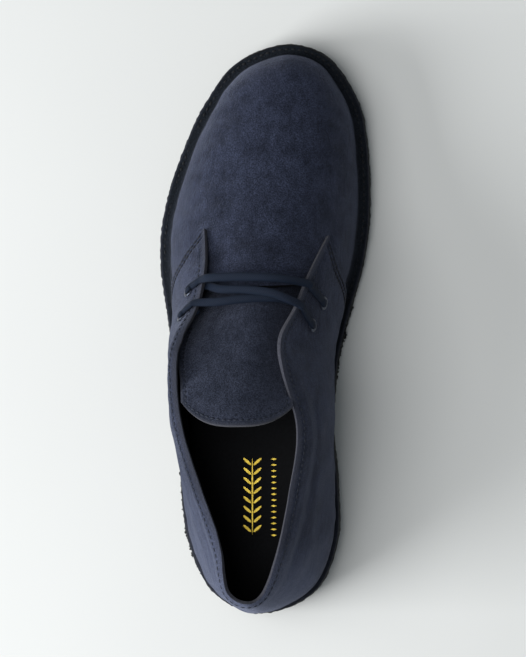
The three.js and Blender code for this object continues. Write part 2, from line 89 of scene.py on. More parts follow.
# %% Material helpers
def painted(red, green, blue):
    def linear(value):
        value /= 255.0
        return value / 12.92 if value <= 0.04045 else ((value + 0.055) / 1.055) ** 2.4
    return (linear(red), linear(green), linear(blue), 1.0)


class Finish:
    """A new material with helpers that add and link its nodes."""

    def __init__(self, name, **shader):
        self.material = bpy.data.materials.new(name)
        self.material.use_nodes = True
        self.tree = self.material.node_tree
        self.shader = self.tree.nodes["Principled BSDF"]
        self.feed(self.shader, {key.replace("_", " "): value for key, value in shader.items()})

    def feed(self, node, inputs):
        for name, value in inputs.items():
            if isinstance(value, bpy.types.NodeSocket):
                self.tree.links.new(value, node.inputs[name])
            else:
                node.inputs[name].default_value = value
        return node

    def add(self, kind, inputs, **settings):
        node = self.tree.nodes.new(kind)
        for name, value in settings.items():
            setattr(node, name, value)
        return self.feed(node, inputs)

    def place(self, scale=(1, 1, 1), kind="Object"):
        source = self.add("ShaderNodeTexCoord", {}).outputs[kind]
        return self.add("ShaderNodeMapping", {"Vector": source, "Scale": scale}).outputs[0]

    def noise(self, scale, detail=3.0, roughness=0.5, stretch=(1, 1, 1)):
        inputs = {"Vector": self.place(stretch), "Scale": scale, "Detail": detail,
                  "Roughness": roughness}
        return self.add("ShaderNodeTexNoise", inputs).outputs["Fac"]

    def ramp(self, factor, low, first, high, second):
        node = self.add("ShaderNodeValToRGB", {"Fac": factor})
        stops = ((low, first), (high, second))
        for element, (place, colour) in zip(node.color_ramp.elements, stops):
            element.position = place
            element.color = colour
        return node.outputs["Color"]

    def tones(self, factor, dark, light, low=0.3, high=0.7):
        """From a dark to a light colour of the chart."""
        return self.ramp(factor, low, painted(*dark), high, painted(*light))

    def mask(self, factor, low, high, most=1.0):
        """Nothing under low and the most over high, to blend by."""
        return self.ramp(factor, low, (0, 0, 0, 1), high, (most, most, most, 1))

    def paint(self, name, low, high, most=1.0):
        """A mask from a table that is painted on the piece."""
        table = self.add("ShaderNodeAttribute", {}, attribute_name=name).outputs["Fac"]
        return self.mask(table, low, high, most)

    def blend(self, kind, factor, first, second):
        inputs = {0: factor, 6: first, 7: second}
        return self.add("ShaderNodeMix", inputs, data_type="RGBA", blend_type=kind).outputs[2]

    def math(self, kind, first, second):
        return self.add("ShaderNodeMath", {0: first, 1: second}, operation=kind).outputs[0]

    def weigh(self, first, second, share):
        """Two textures added, the first with this share."""
        parts = (self.math("MULTIPLY", first, share), self.math("MULTIPLY", second, 1 - share))
        return self.math("ADD", *parts)

    def colour(self, socket):
        self.feed(self.shader, {"Base Color": socket})

    def relief(self, *layers):
        """Bumps of (height, strength, distance), each laid over the one before."""
        under = {}
        for height, strength, distance in layers:
            inputs = {"Height": height, "Strength": strength, "Distance": distance, **under}
            under = {"Normal": self.add("ShaderNodeBump", inputs).outputs["Normal"]}
        self.feed(self.shader, under)


def grained(name, dark, light, grain, bump=None, low=0.3, over=None, **shader):
    """A finish of one fine grain, which sets its colour and its relief.

    over is (name of a paint, low, high, dark, light) for a second colour where it is painted."""
    finish = Finish(name, **shader)
    fibre = finish.noise(*grain)
    colour = finish.tones(fibre, dark, light, low)
    if over:
        paint, start, full, *colours = over
        mask = finish.paint(paint, start, full)
        colour = finish.blend("MIX", mask, colour, finish.tones(fibre, *colours))
    finish.colour(colour)
    if bump:
        finish.relief((fibre, *bump))
    return finish


# %% Helpers that add and edit a mesh
def add_mesh(operator, **settings):
    bpy.ops.object.select_all(action="DESELECT")
    operator(**settings)
    return bpy.context.active_object


def start_edit():
    bpy.ops.object.mode_set(mode="EDIT")
    bpy.ops.mesh.select_all(action="SELECT")


def end_edit(outwards=True):
    if outwards:
        bpy.ops.mesh.select_all(action="SELECT")
        bpy.ops.mesh.normals_make_consistent(inside=False)
    bpy.ops.object.mode_set(mode="OBJECT")


def copy_of(model, move):
    """A copy whose shape is moved by a matrix, while the object stays at the origin."""
    piece = model.copy()
    piece.data = model.data.copy()
    bpy.context.scene.collection.objects.link(piece)
    piece.data.transform(move)
    return piece


def facing(direction):
    return direction.to_track_quat("Z", "Y").to_matrix().to_4x4()


# %% Floor and light
FLOOR_SIZE = 8.0


def add_floor():
    floor = add_mesh(bpy.ops.mesh.primitive_plane_add, size=FLOOR_SIZE, location=(0, 0, 0))
    floor.name = "floor"
    paper = grained("pale paper", (210, 211, 209), (214, 215, 213), (3.0,), Roughness=0.9)
    floor.data.materials.append(paper.material)


def add_area_light(name, at, towards, size, watts, colour):
    data = bpy.data.lights.new(name, "AREA")
    data.shape = "RECTANGLE"
    data.size, data.size_y = size
    data.energy = watts
    data.color = colour
    light = bpy.data.objects.new(name, data)
    bpy.context.scene.collection.objects.link(light)
    light.location = at
    light.rotation_euler = (Vector(towards) - Vector(at)).to_track_quat("-Z", "Y").to_euler()


add_floor()
add_area_light("window", (-1.45, -0.50, 0.72), (0, 0, 0.04), (0.9, 0.9), 36.0, (0.98, 0.99, 1.0))
add_area_light("ceiling", (-0.68, -0.10, 1.8), (0, 0, 0), (1.2, 1.5), 25.5, (1, 1, 1))
scene = bpy.context.scene
scene.view_settings.view_transform = "Standard"
scene.world = bpy.data.worlds.new("studio")
scene.world.use_nodes = True
sky = scene.world.node_tree.nodes["Background"]
sky.inputs["Color"].default_value = (0.84, 0.93, 1.0, 1.0)
sky.inputs["Strength"].default_value = 0.20

# %% [markdown]
# ## The last
#
# A boot takes its form from a last, and the solids were cut from one that is written as ribs.
# Ribs stand around the feather line, where the upper meets the sole: rib 0 at the back of the
# heel, rib 14 at the tip of the toe, 1 to 13 lateral, 15 to 27 medial. The same tables and the
# same curves are repeated here, so that a finer surface lies exactly on the solids.

# %% Sizes of the boot, in millimetres
GAP, CREPE, MIDSOLE, INSOLE = 0.3, 9.0, 3.0, 3.0
FLANGE, LIP_FRONT, LIP_HEEL, LAP = 1.8, 1.8, 2.8, 1.8
TOE_RIB, RIBS = 14, 28

OUTLINE = np.array([  # edge x, edge y, margin in to the upper
    (-2.0, -147.3, 3.3), (-26.5, -136.2, 3.3), (-39.3, -110.2, 3.2), (-43.3, -80.0, 3.3),
    (-44.4, -50.0, 4.0), (-47.2, -20.0, 5.2), (-49.6, -4.0, 5.9), (-51.9, 11.0, 6.4),
    (-54.7, 31.0, 6.8), (-54.4, 52.0, 6.8), (-49.4, 75.0, 6.8), (-41.0, 98.0, 6.8),
    (-31.0, 118.0, 6.8), (-15.0, 137.7, 6.8), (11.0, 147.3, 6.8), (33.5, 140.6, 6.8),
    (48.8, 118.5, 6.8), (53.4, 98.0, 6.8), (54.9, 75.0, 6.8), (54.3, 52.0, 6.8),
    (50.9, 31.0, 6.8), (45.3, 11.0, 6.2), (41.4, -4.0, 5.6), (38.2, -20.0, 4.8),
    (36.2, -50.0, 3.8), (38.7, -80.0, 3.2), (38.3, -110.0, 3.1), (26.3, -136.0, 3.2),
])
UNDERSIDE = np.array([  # y, height of the underside of the crepe sheet
    (-148.0, 11.4), (-52.0, 11.4), (-36.0, 9.2), (-12.0, 3.2), (8.0, 0.0),
    (90.0, 0.0), (112.0, 1.9), (131.0, 5.6), (148.0, 10.6),
])
RIDGE = np.array([  # x, y, z of the ridge, then rise, lateral and medial shoulder
    (9.0, 108.0, 48.8, 0.66, 0.62, 0.62), (8.8, 106.0, 49.2, 0.64, 0.6, 0.62),
    (8.4, 101.0, 50.3, 0.6, 0.56, 0.62), (7.6, 91.0, 52.6, 0.56, 0.52, 0.6),
    (6.4, 74.0, 57.2, 0.52, 0.5, 0.58), (4.8, 52.0, 64.5, 0.5, 0.5, 0.58),
    (2.6, 31.0, 74.0, 0.5, 0.5, 0.6), (0.2, 11.0, 85.0, 0.5, 0.5, 0.58),
    (-2.5, -4.0, 93.5, 0.5, 0.5, 0.5), (-5.0, -20.0, 102.0, 0.5, 0.5, 0.5),
])
TOPLINE = np.array([  # rib, edge x, y, z, belly, lean
    (19, 36.2, 51.0, 0.0, 0.0, 0.0), (20, 25.8, 30.5, 67.5, 0.0, 0.0),
    (21, 18.0, 10.5, 82.0, 3.5, 15.0), (22, 11.6, -5.0, 95.5, 6.0, 17.5),
    (23, 14.4, -20.5, 101.5, 9.5, 18.0), (24, 22.4, -49.5, 96.5, 10.5, 12.0),
    (25, 19.4, -80.0, 93.0, 6.0, 8.5), (26, 13.0, -109.0, 92.5, 2.2, 7.0),
    (27, 5.4, -130.4, 95.5, 1.6, 3.5), (0, -5.0, -136.4, 99.0, 3.0, 2.0),
    (1, -16.4, -129.6, 95.5, 0.4, 3.0), (2, -21.0, -108.5, 92.5, 1.8, 6.0),
    (3, -31.0, -80.0, 93.0, 3.2, 5.5), (4, -40.2, -49.0, 97.5, 3.5, 4.0),
    (5, -42.6, -19.5, 102.5, 3.5, 4.5), (6, -38.8, -4.5, 95.0, 3.0, 7.0),
    (7, -29.4, 11.3, 81.0, 0.0, 0.0), (8, -26.2, 30.5, 67.5, 0.0, 0.0),
    (9, -27.6, 51.0, 0.0, 0.0, 0.0),
])
WALL_HANDLE, VAMP_BELLY = 0.36, 1.6
SEAM_FOOT, SEAM_LATERAL, SEAM_MEDIAL = 6.9, 5.15, 5.35
VAMP_BACK_FOOT, VAMP_BACK_THROAT = 7.4, 6.5
HEEL_BREAST = 10.0
print("ribs:", len(OUTLINE), "outline length, mm:", round(float(np.ptp(OUTLINE[:, 1])), 1))

# %% Curves through the tables
def smoothstep(value, low, high):
    share = np.clip((np.asarray(value, float) - low) / (high - low), 0.0, 1.0)
    return share * share * (3 - 2 * share)


def spline(rows, place, closed):
    """Catmull-Rom curve through the rows, at places counted in rows."""
    place = np.asarray(place, float)
    start = np.floor(place).astype(int)
    f = (place - start)[..., None]
    weights = (
        (-f**3 + 2 * f**2 - f) / 2, (3 * f**3 - 5 * f**2 + 2) / 2,
        (-3 * f**3 + 4 * f**2 + f) / 2, (f**3 - f**2) / 2,
    )
    total = 0.0
    for k, weight in enumerate(weights):
        index = start - 1 + k
        index = index % len(rows) if closed else np.clip(index, 0, len(rows) - 1)
        total = total + weight * rows[index]
    return total


def profile(rows, y):
    """Smooth height at y through rows of (y, z), level wherever two rows are level."""
    ys, zs = rows[:, 0], rows[:, 1]
    y = np.clip(y, ys[0], ys[-1])
    i = np.clip(np.searchsorted(ys, y, side="left") - 1, 0, len(ys) - 2)
    chords = np.diff(zs) / np.diff(ys)
    before = chords[np.maximum(np.arange(len(ys)) - 1, 0)]
    after = chords[np.minimum(np.arange(len(ys)), len(chords) - 1)]
    both = before * after
    slopes = np.where(both <= 0, 0.0, 2 * both / np.where(both <= 0, 1.0, before + after))
    width = ys[i + 1] - ys[i]
    f = (y - ys[i]) / width
    rise = f * f * (3 - 2 * f)
    bend = f * (1 - f) ** 2 * slopes[i] - f * f * (1 - f) * slopes[i + 1]
    return zs[i] + (zs[i + 1] - zs[i]) * rise + width * bend


def bezier(a, b, c, d, u):
    v = 1 - u
    return a * v**3 + b * 3 * u * v**2 + c * 3 * u**2 * v + d * u**3


def crepe_bottom(y):
    return profile(UNDERSIDE, y)


def upper_foot(y):
    return crepe_bottom(y) + CREPE + MIDSOLE + 2 * GAP


RIB_STEP = 0.02  # share of a rib over which directions are read
TINY = 1e-9  # keeps a length from being nought


def outward(rows, t):
    """Outward direction, in plan, of the closed outline at rib t."""
    t = np.asarray(t)
    run = spline(rows, t + RIB_STEP, True) - spline(rows, t - RIB_STEP, True)
    out = np.stack((-run[..., 1], run[..., 0]), -1)
    return out / np.linalg.norm(out, axis=-1, keepdims=True)


EDGE = OUTLINE[:, :2]
ribs = np.arange(RIBS)
FEATHER = EDGE - outward(EDGE, ribs) * OUTLINE[:, 2:]


def inside(rows, t, inset):
    return spline(rows, t, True) - outward(rows, t) * np.asarray(inset, float)[..., None]


def at_height(plan, z):
    z = np.asarray(z, float)[..., None]
    return np.concatenate((plan, np.broadcast_to(z, plan[..., :1].shape)), -1)


print("feather line length, mm:", round(float(np.ptp(FEATHER[:, 1])), 1))

# %% Ribs of the vamp and the quarters
LAST_PAIR = len(RIDGE) - 1


def ridge_slope(pair):
    front = RIDGE[max(pair - 1, 0)]
    back = RIDGE[min(pair + 1, LAST_PAIR)]
    return (front[2] - back[2]) / (front[1] - back[1])


def rib_foot(rib):
    foot = FEATHER[rib % RIBS]
    return np.array((foot[0], foot[1], float(upper_foot(foot[1]))))


def level_out(rib):
    return np.append(outward(EDGE, rib % RIBS), 0.0)


def vamp_rib(rib):
    pair = abs(rib - TOE_RIB)
    x, y, z, rise, lateral, medial = RIDGE[pair]
    foot, ridge = rib_foot(rib), np.array((x, y, z))
    wall = foot + (0, 0, rise * (z - foot[2])) + level_out(rib) * VAMP_BELLY
    top = ridge + (foot - ridge) * (lateral if rib < TOE_RIB else medial)
    top[2] = z + ridge_slope(pair) * (top[1] - y)
    return np.array((foot, wall, top, ridge))


VAMP_FIRST = TOE_RIB - LAST_PAIR
vamp_ribs = np.array([vamp_rib(rib) for rib in range(VAMP_FIRST, TOE_RIB + LAST_PAIR + 1)])


def share_at_x(rib, x):
    """Share of the way up a rib of the vamp at which it passes over x, found by halving."""
    low, high = 0.3, 1.0
    side = np.sign(rib[3][0] - rib[0][0])
    for _ in range(30):
        middle = (low + high) / 2
        beyond = (bezier(*rib, middle)[0] - x) * side > 0
        low, high = (low, middle) if beyond else (middle, high)
    return (low + high) / 2


def rib_start(rib, u):
    a, b, c, d = rib
    ab, bc, cd = a + (b - a) * u, b + (c - b) * u, c + (d - c) * u
    abc, bcd = ab + (bc - ab) * u, bc + (cd - bc) * u
    return np.array((a, ab, abc, abc + (bcd - abc) * u))


def quarter_rib(row):
    rib, x, y, z, belly, lean = row
    rib = int(rib)
    edge = np.array((x, y, z))
    if belly == 0:
        below = vamp_ribs[rib - VAMP_FIRST]
        start = rib_start(below, share_at_x(below, x))
        if z > 0:
            start[2:] += edge - start[3]
        return start
    foot, out = rib_foot(rib), level_out(rib)
    handle = np.array((0, 0, WALL_HANDLE * (z - foot[2])))
    return np.array((foot, foot + handle + out * belly, edge - handle + out * lean, edge))


quarter_ribs = np.array([quarter_rib(row) for row in TOPLINE])
QUARTER_FIRST = TOE_RIB + 5


def on_ribs(table, first, t, s):
    t, s = np.broadcast_arrays(np.asarray(t, float), np.asarray(s, float))
    places = np.clip(t - first, -1, len(table))
    controls = spline(table.reshape(len(table), -1), places, False).reshape(t.shape + (4, 3))
    controls[..., 0, 2] = upper_foot(controls[..., 0, 1])
    return bezier(*(controls[..., k, :] for k in range(4)), s[..., None])


def vamp_at(t, u):
    return on_ribs(vamp_ribs, VAMP_FIRST, t, u)


def quarter_at(t, s):
    return on_ribs(quarter_ribs, QUARTER_FIRST, t, s)


def normal_at(surface, t, s):
    """Outward direction of a surface of the last, from small steps along it."""
    t, s = np.broadcast_arrays(np.asarray(t, float), np.asarray(s, float))
    along = surface(t + RIB_STEP, s) - surface(t - RIB_STEP, s)
    up = surface(t, np.minimum(s + RIB_STEP, 1)) - surface(t, np.maximum(s - RIB_STEP, 0))
    out = np.cross(up, along)
    return out / np.maximum(np.linalg.norm(out, axis=-1, keepdims=True), TINY)


print("quarter edge at the back, mm:", np.round(quarter_at(28.0, 1.0), 1))

# %% [markdown]
# A panel of leather is a sheet that has been pulled over the last. The nearest thing by hand is
# a flat grid whose corners are pushed onto the form, as in sculpting, so the helper below adds a
# grid and sets its corners to places worked out from the ribs. Corners that fall together, as at
# the tip of the toe, are merged. Solidify then gives the leather its thickness and Bevel softens
# its cut edges.

# %% Helpers that make and finish a panel
SAME_PLACE = 0.00001  # metres


def only(piece):
    bpy.ops.object.select_all(action="DESELECT")
    piece.select_set(True)
    bpy.context.view_layer.objects.active = piece


def lay_grid(name, places, turn=None, paints=None):
    """A grid whose corner (row, column) lies at places[row, column], in millimetres.

    turn says whether a sheet's faces are flipped, and is None for a closed form, whose faces are
    set outwards. paints are named tables of the same shape, for the finish to read."""
    rows, columns = places.shape[:2]
    piece = add_mesh(bpy.ops.mesh.primitive_grid_add, x_subdivisions=columns - 1,
                     y_subdivisions=rows - 1, size=1.0)
    piece.name = piece.data.name = name
    flat = np.empty(len(piece.data.vertices) * 3)
    piece.data.vertices.foreach_get("co", flat)
    flat = flat.reshape(-1, 3)
    column = np.rint((flat[:, 0] + 0.5) * (columns - 1)).astype(int)
    row = np.rint((flat[:, 1] + 0.5) * (rows - 1)).astype(int)
    piece.data.vertices.foreach_set("co", (places[row, column] * MM).ravel())
    for paint, table in (paints or {}).items():
        layer = piece.data.attributes.new(paint, "FLOAT", "POINT")
        layer.data.foreach_set("value", table[row, column].astype(np.float32))
    start_edit()
    bpy.ops.mesh.remove_doubles(threshold=SAME_PLACE)
    if turn:
        bpy.ops.mesh.flip_normals()
    end_edit(outwards=turn is None)
    return piece


def apply_modifier(piece, kind, **settings):
    only(piece)
    modifier = piece.modifiers.new(kind.title(), kind)
    for name, value in settings.items():
        setattr(modifier, name, value)
    bpy.ops.object.modifier_apply(modifier=modifier.name)


def thicken(piece, wall, finishes, round_edge=0.45):
    """Leather thickness, inwards. The finishes are of the outside, inside and cut edge."""
    for finish in finishes:
        piece.data.materials.append(finish.material)
    apply_modifier(piece, "SOLIDIFY", thickness=wall * MM, offset=-1.0, use_even_offset=False,
                   material_offset=1, material_offset_rim=2)
    apply_modifier(piece, "BEVEL", width=round_edge * MM, segments=2, limit_method="ANGLE",
                   angle_limit=math.radians(50), material=2)


def join(pieces, name):
    bpy.ops.object.select_all(action="DESELECT")
    for piece in pieces:
        piece.select_set(True)
    bpy.context.view_layer.objects.active = pieces[0]
    bpy.ops.object.join()
    joined = bpy.context.active_object
    joined.name = joined.data.name = name
    return joined


def roughen(piece, name, size, strength, depth=2):
    texture = bpy.data.textures.new(name, "CLOUDS")
    texture.noise_scale = size * MM
    texture.noise_depth = depth
    apply_modifier(piece, "DISPLACE", texture=texture, texture_coords="LOCAL",
                   strength=strength * MM, mid_level=0.5)


made = []


def finish_piece(piece, replaced=(), finishes=(), smooth=True):
    for finish in finishes:
        piece.data.materials.append(finish.material)
    only(piece)
    if smooth:
        bpy.ops.object.shade_smooth()
    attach(piece, "root")
    if replaced:
        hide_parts(*replaced)
    made.append(piece)
    size = [round(v * 1000, 1) for v in piece.dimensions]
    print(piece.name, "size, mm:", size, "faces:", len(piece.data.polygons))
    return piece


# %% [markdown]
# ## Finishes
#
# Suede is leather with its nap up. Light catches the standing fibres at a low angle, so it looks
# pale at the rims and dark where it faces the eye, which is what the sheen of the shader is for.
# The colour wanders a little where hands have brushed it, and the bump is fine and matt.

# %% Suede
def make_suede(name, dark, light, sheen):
    suede = Finish(name, Roughness=0.92, Specular_IOR_Level=0.12, Sheen_Weight=sheen,
                   Sheen_Roughness=0.4, Sheen_Tint=painted(196, 204, 232))
    clouds = suede.noise(62.0, 6.0, 0.66)
    brushed = suede.noise(230.0, 5.0, 0.7, (1.0, 0.5, 1.0))
    nap = suede.noise(1500.0, 3.0, 0.65)
    scuffs = suede.noise(330.0, 5.0, 0.75, (0.55, 1.6, 1.0))
    speckle = suede.tones(nap, (112, 114, 120), (255, 255, 255), 0.38, 0.62)
    colour = suede.tones(suede.weigh(clouds, brushed, 0.55), dark, light, 0.39, 0.61)
    colour = suede.blend("MULTIPLY", 0.85, colour, speckle)
    # Painted shade: a near-black tone, laid where the piece is marked as lying in shade.
    painted_shade_tone = suede.blend("MULTIPLY", 1.0, painted(26, 31, 38), speckle)
    # A paler tone, laid towards the back of the heel where the pale table is marked.
    heel_pale_tone = suede.blend("MULTIPLY", 0.7, painted(98, 105, 130), speckle)
    for mask, over in (
            (suede.mask(scuffs, 0.66, 0.76, 0.3), painted(104, 110, 130)),
            (suede.paint("dye", 0.0, 1.0), painted_shade_tone),
            (suede.paint("rim", 0.35, 0.95, 0.7), painted(54, 56, 65)),
            (suede.paint("pale", 0.0, 1.0, 0.7), heel_pale_tone)):
        colour = suede.blend("MIX", mask, colour, over)
    suede.colour(colour)
    suede.relief((brushed, 0.5, 0.0012), (nap, 0.8, 0.0006))
    return suede


suede = make_suede("navy suede", (33, 38, 53), (56, 62, 82), 0.27)
tongue_suede = make_suede("tongue suede", (39, 44, 58), (60, 65, 81), 0.35)

# %% Lining, cut edge and thread
# Painted shade: the lining is coloured near black for the shade inside the boot; only the band
# under the top edge keeps its own lighter grey.
lining = grained("lining in painted shade", (6, 7, 9), (13, 14, 18), (900.0,), (0.4, 0.0003),
                 over=("rim", 0.15, 0.8, (26, 27, 33), (46, 47, 54)),
                 Roughness=0.85, Specular_IOR_Level=0.1)
# Painted shade: the cut edge turns near black where the turned-out edge is marked as lying in
# shade.
cut_edge = grained("cut edge", (40, 41, 49), (68, 69, 78), (1300.0, 4.0, 0.7), (0.7, 0.0004),
                   over=("dye", 0.0, 0.8, (18, 20, 25), (18, 20, 25)),
                   Roughness=0.92, Specular_IOR_Level=0.12, Sheen_Weight=0.08)


def make_thread(name, dark, light):
    thread = Finish(name, Roughness=0.65, Specular_IOR_Level=0.25)
    inputs = {"Vector": thread.place(), "Scale": 900.0, "Distortion": 2.0}
    twist = thread.add("ShaderNodeTexWave", inputs).outputs["Fac"]
    thread.colour(thread.tones(twist, dark, light, 0.0, 1.0))
    return thread


# Painted shade: the seam thread is darker than the suede, for the shade of the grooves it lies in.
seam_thread = make_thread("navy thread darkened for painted shade", (12, 14, 20), (26, 30, 40))
edge_thread = make_thread("navy thread", (24, 28, 38), (38, 43, 56))
# Painted shade: the flange thread is near black so that it sinks into the painted shade of the
# turned-out edge.
welt_thread = make_thread("thread blackened for painted shade", (9, 11, 14), (18, 20, 25))
print("finishes so far:", [m.name for m in bpy.data.materials])

# %% Crepe rubber and midsole board
crepe = Finish("black crepe", Roughness=0.78, Specular_IOR_Level=0.3)
layers = crepe.noise(260.0, 6.0, 0.7, (1.0, 1.0, 3.2))
pits = crepe.noise(1400.0, 3.0, 0.6)
crepe.colour(crepe.tones(crepe.weigh(layers, pits, 0.7), (8, 10, 11), (33, 36, 37), 0.35, 0.66))
crepe.relief((layers, 0.7, 0.0012), (pits, 0.4, 0.0003))
board = grained("midsole board", (20, 22, 30), (34, 37, 48), (700.0, 4.0), (0.4, 0.0003),
                Roughness=0.85, Specular_IOR_Level=0.2)

# %% [markdown]
# ## Vamp
#
# The vamp is one piece of suede from the toe to the instep. At its foot it isn't tucked under as
# on most shoes but turned out and stitched flat on the midsole. So each row of the grid starts at
# the edge of that flange, sweeps up through a small hollow into the wall, passes over the ridge
# and comes down the other side. The first row is doubled back on itself at the tip of the toe.

# %% Creases and waves of the hide
SUEDE = 2.1
FLARE_STEPS = 10
SEATED = 0.1  # height of the edge over the midsole at the heel, where there is no flange
WALL_START = 0.075  # share of a rib at which the hollow of the flange ends
HOLLOW, HOLLOW_PULL = 1.3, 2.4  # how far out and how far down the hollow is drawn
CALM_FROM, CALM = 0.86, 0.75  # creases and waves fade towards the top edge

CREASE_POINTS, CREASE_SHARE = 9, 0.8
CREASES = [  # surface, line on it as (rib, height), width and depth: shallow folds left by wear
    (quarter_at, ((23.3, 0.90), (24.6, 0.87), (25.8, 0.87), (27.0, 0.88)), 2.8, -0.55),
    (quarter_at, ((23.6, 0.80), (25.0, 0.76), (26.4, 0.77)), 3.6, 0.80),
    (quarter_at, ((24.9, 0.66), (25.9, 0.60), (26.9, 0.62)), 5.0, -0.60),
    (quarter_at, ((24.1, 0.60), (24.3, 0.38), (24.2, 0.20)), 6.0, 0.90),
    (quarter_at, ((25.7, 0.55), (26.2, 0.30)), 5.0, 0.70),
    (quarter_at, ((22.1, 0.90), (22.5, 0.62), (22.6, 0.30)), 5.5, 0.70),
    (quarter_at, ((21.3, 0.55), (21.9, 0.30)), 5.0, -0.40),
    (quarter_at, ((31.9, 0.92), (31.0, 0.86), (30.0, 0.84), (29.1, 0.87)), 2.8, 0.70),
    (quarter_at, ((32.2, 0.80), (31.2, 0.70), (30.2, 0.66), (29.2, 0.70)), 4.5, -0.90),
    (quarter_at, ((31.8, 0.52), (30.6, 0.44), (29.6, 0.45)), 5.5, 0.80),
    (quarter_at, ((33.2, 0.90), (33.0, 0.55), (33.1, 0.25)), 6.0, 0.70),
    (quarter_at, ((28.4, 0.75), (28.6, 0.40)), 6.0, 0.50),
    (vamp_at, ((10.4, 0.62), (10.2, 1.0), (17.8, 1.0), (17.7, 0.7)), 5.0, 0.35),
    (vamp_at, ((9.3, 0.66), (9.1, 1.0), (18.9, 1.0), (18.8, 0.72)), 5.0, -0.25),
    (vamp_at, ((9.6, 0.25), (8.9, 0.50)), 5.0, 0.40),
    (vamp_at, ((18.2, 0.20), (19.0, 0.45)), 5.0, 0.45),
]

WAVE_COUNT = 10
rng = np.random.default_rng(7)
wave_ways = rng.normal(size=(WAVE_COUNT, 3))
wave_ways /= np.linalg.norm(wave_ways, axis=1, keepdims=True)
wave_ways *= (2 * math.pi / rng.uniform(11.0, 42.0, WAVE_COUNT))[:, None]
wave_starts = rng.uniform(0, 2 * math.pi, WAVE_COUNT)
WAVE_HEIGHT = 0.07


def away_from(places, line):
    """Distance of every place from a line of straight runs."""
    away = np.full(places.shape[:-1], 1e9)
    for start, end in zip(line, line[1:]):
        run = end - start
        share = np.clip(((places - start) @ run) / (run @ run), 0, 1)
        away = np.minimum(away, np.linalg.norm(places - start - share[..., None] * run, axis=-1))
    return away


def hide_depth(places):
    """How far the leather dips at each place, in creases and in the slow waves of the hide."""
    depth = WAVE_HEIGHT * np.sin(places @ wave_ways.T + wave_starts).sum(-1)
    for surface, line, width, sink in CREASES:
        marks, knots = np.linspace(0, 1, CREASE_POINTS), np.linspace(0, 1, len(line))
        t, s = (np.interp(marks, knots, column) for column in np.array(line).T)
        away = away_from(places, surface(t, s))
        depth += CREASE_SHARE * sink * np.exp(-((away / width) ** 2))
    return depth


print("creases:", len(CREASES), "waves:", WAVE_COUNT)

# %% Flange and wall shared by the vamp and the quarters
def flange_width(t):
    edge = spline(EDGE, t, True)
    lip = LIP_HEEL + (LIP_FRONT - LIP_HEEL) * smoothstep(edge[..., 1], -70, 0)
    gap = np.linalg.norm(edge - spline(FEATHER, t, True), axis=-1)
    return gap - lip


def flared(surface, t, share, lift=0.0):
    """Places at rib t: share runs from -1 to 0 over the flange and from 0 to 1 up the wall."""
    t, share = np.broadcast_arrays(np.asarray(t, float), np.asarray(share, float))
    wall_share = WALL_START + (1 - WALL_START) * np.clip(share, 0, 1)
    wall = surface(t, wall_share)
    normal = normal_at(surface, t, wall_share)
    foot, out = spline(FEATHER, t, True), outward(FEATHER, t)
    width = flange_width(t)
    rise = SEATED + (FLANGE - SEATED) * smoothstep(width, 0.6, 3.0)
    rim = foot + out * width[..., None]
    edge = at_height(rim, upper_foot(rim[..., 1]) + rise)
    reach = foot + out * np.minimum(width, HOLLOW)[..., None]
    hollow = at_height(reach, upper_foot(foot[..., 1]) + rise)
    under = wall - (0, 0, HOLLOW_PULL)
    flare = bezier(edge, hollow, under, wall, np.clip(share + 1, 0, 1)[..., None])
    turned = np.clip(-share, 0, 1)[..., None]
    normal = normal * (1 - turned) + np.array((0.0, 0.0, 1.0)) * turned
    normal /= np.maximum(np.linalg.norm(normal, axis=-1, keepdims=True), TINY)
    places = np.where(share[..., None] < 0, flare, wall)
    calm = 1 - CALM * smoothstep(share, CALM_FROM, 1.0)
    return places + normal * (lift - hide_depth(places) * calm)[..., None]


def painted_shade_at(share):
    """Painted shade: the turned-out edge and the hollow at the wall's foot are coloured darker than
    the wall.
    """
    return 1 - smoothstep(share, -0.22, 0.035)


flare_shares = -1 + np.arange(FLARE_STEPS) / FLARE_STEPS
print("flange, mm, at the toe and at the heel:", np.round(flange_width(np.array([14.0, 0.0])), 1))

# %% Vamp panel
VAMP_ROWS, VAMP_ACROSS = 230, 62


def vamp_panel():
    up = np.concatenate((flare_shares, np.linspace(0, 1, VAMP_ACROSS) ** 1.15))
    share = np.concatenate((up, up[-2::-1]))
    side = np.where(np.arange(len(share)) < len(up), -1.0, 1.0)
    back = VAMP_BACK_FOOT + (VAMP_BACK_THROAT - VAMP_BACK_FOOT) * smoothstep(share, 0, 0.6)
    pair = np.linspace(0, 1, VAMP_ROWS)[:, None] * back[None, :]
    share = np.broadcast_to(share, pair.shape)
    # Painted shade: the turned-out edge and its hollow are marked dark, for the shade at the foot
    # of the wall.
    return lay_grid("vamp", flared(vamp_at, TOE_RIB + side * pair, share), turn=True,
                    paints={"dye": painted_shade_at(share), "rim": 0 * share})


vamp = vamp_panel()
thicken(vamp, SUEDE, [suede, lining, lining])
finish_piece(vamp, ["upper"])

# %% [markdown]
# ## Quarters
#
# The two quarters meet at the back of the heel and lap over the vamp in front, where their edge
# stands proud by the thickness of the leather. Their seam slants: its tip is further forward than
# its foot. One grid runs from the medial seam round the heel to the lateral seam, and its last
# column is the collar and the two facings. Four holes are then cut for the eyelets.

# %% Quarter panel
QUARTER_ROWS, QUARTER_UP = 470, 66
SEAM_ROWS, COLLAR_ROW = (2.1, 4.6), 3.6  # of the stitches, in from the edge
GROOVE, PUFF, COLLAR_GROOVE = 0.40, 0.22, 0.16  # how far they draw the suede in or puff it out
RIM_BAND = (0.5, 4.5)  # below the top edge, where the suede is rubbed to another tone


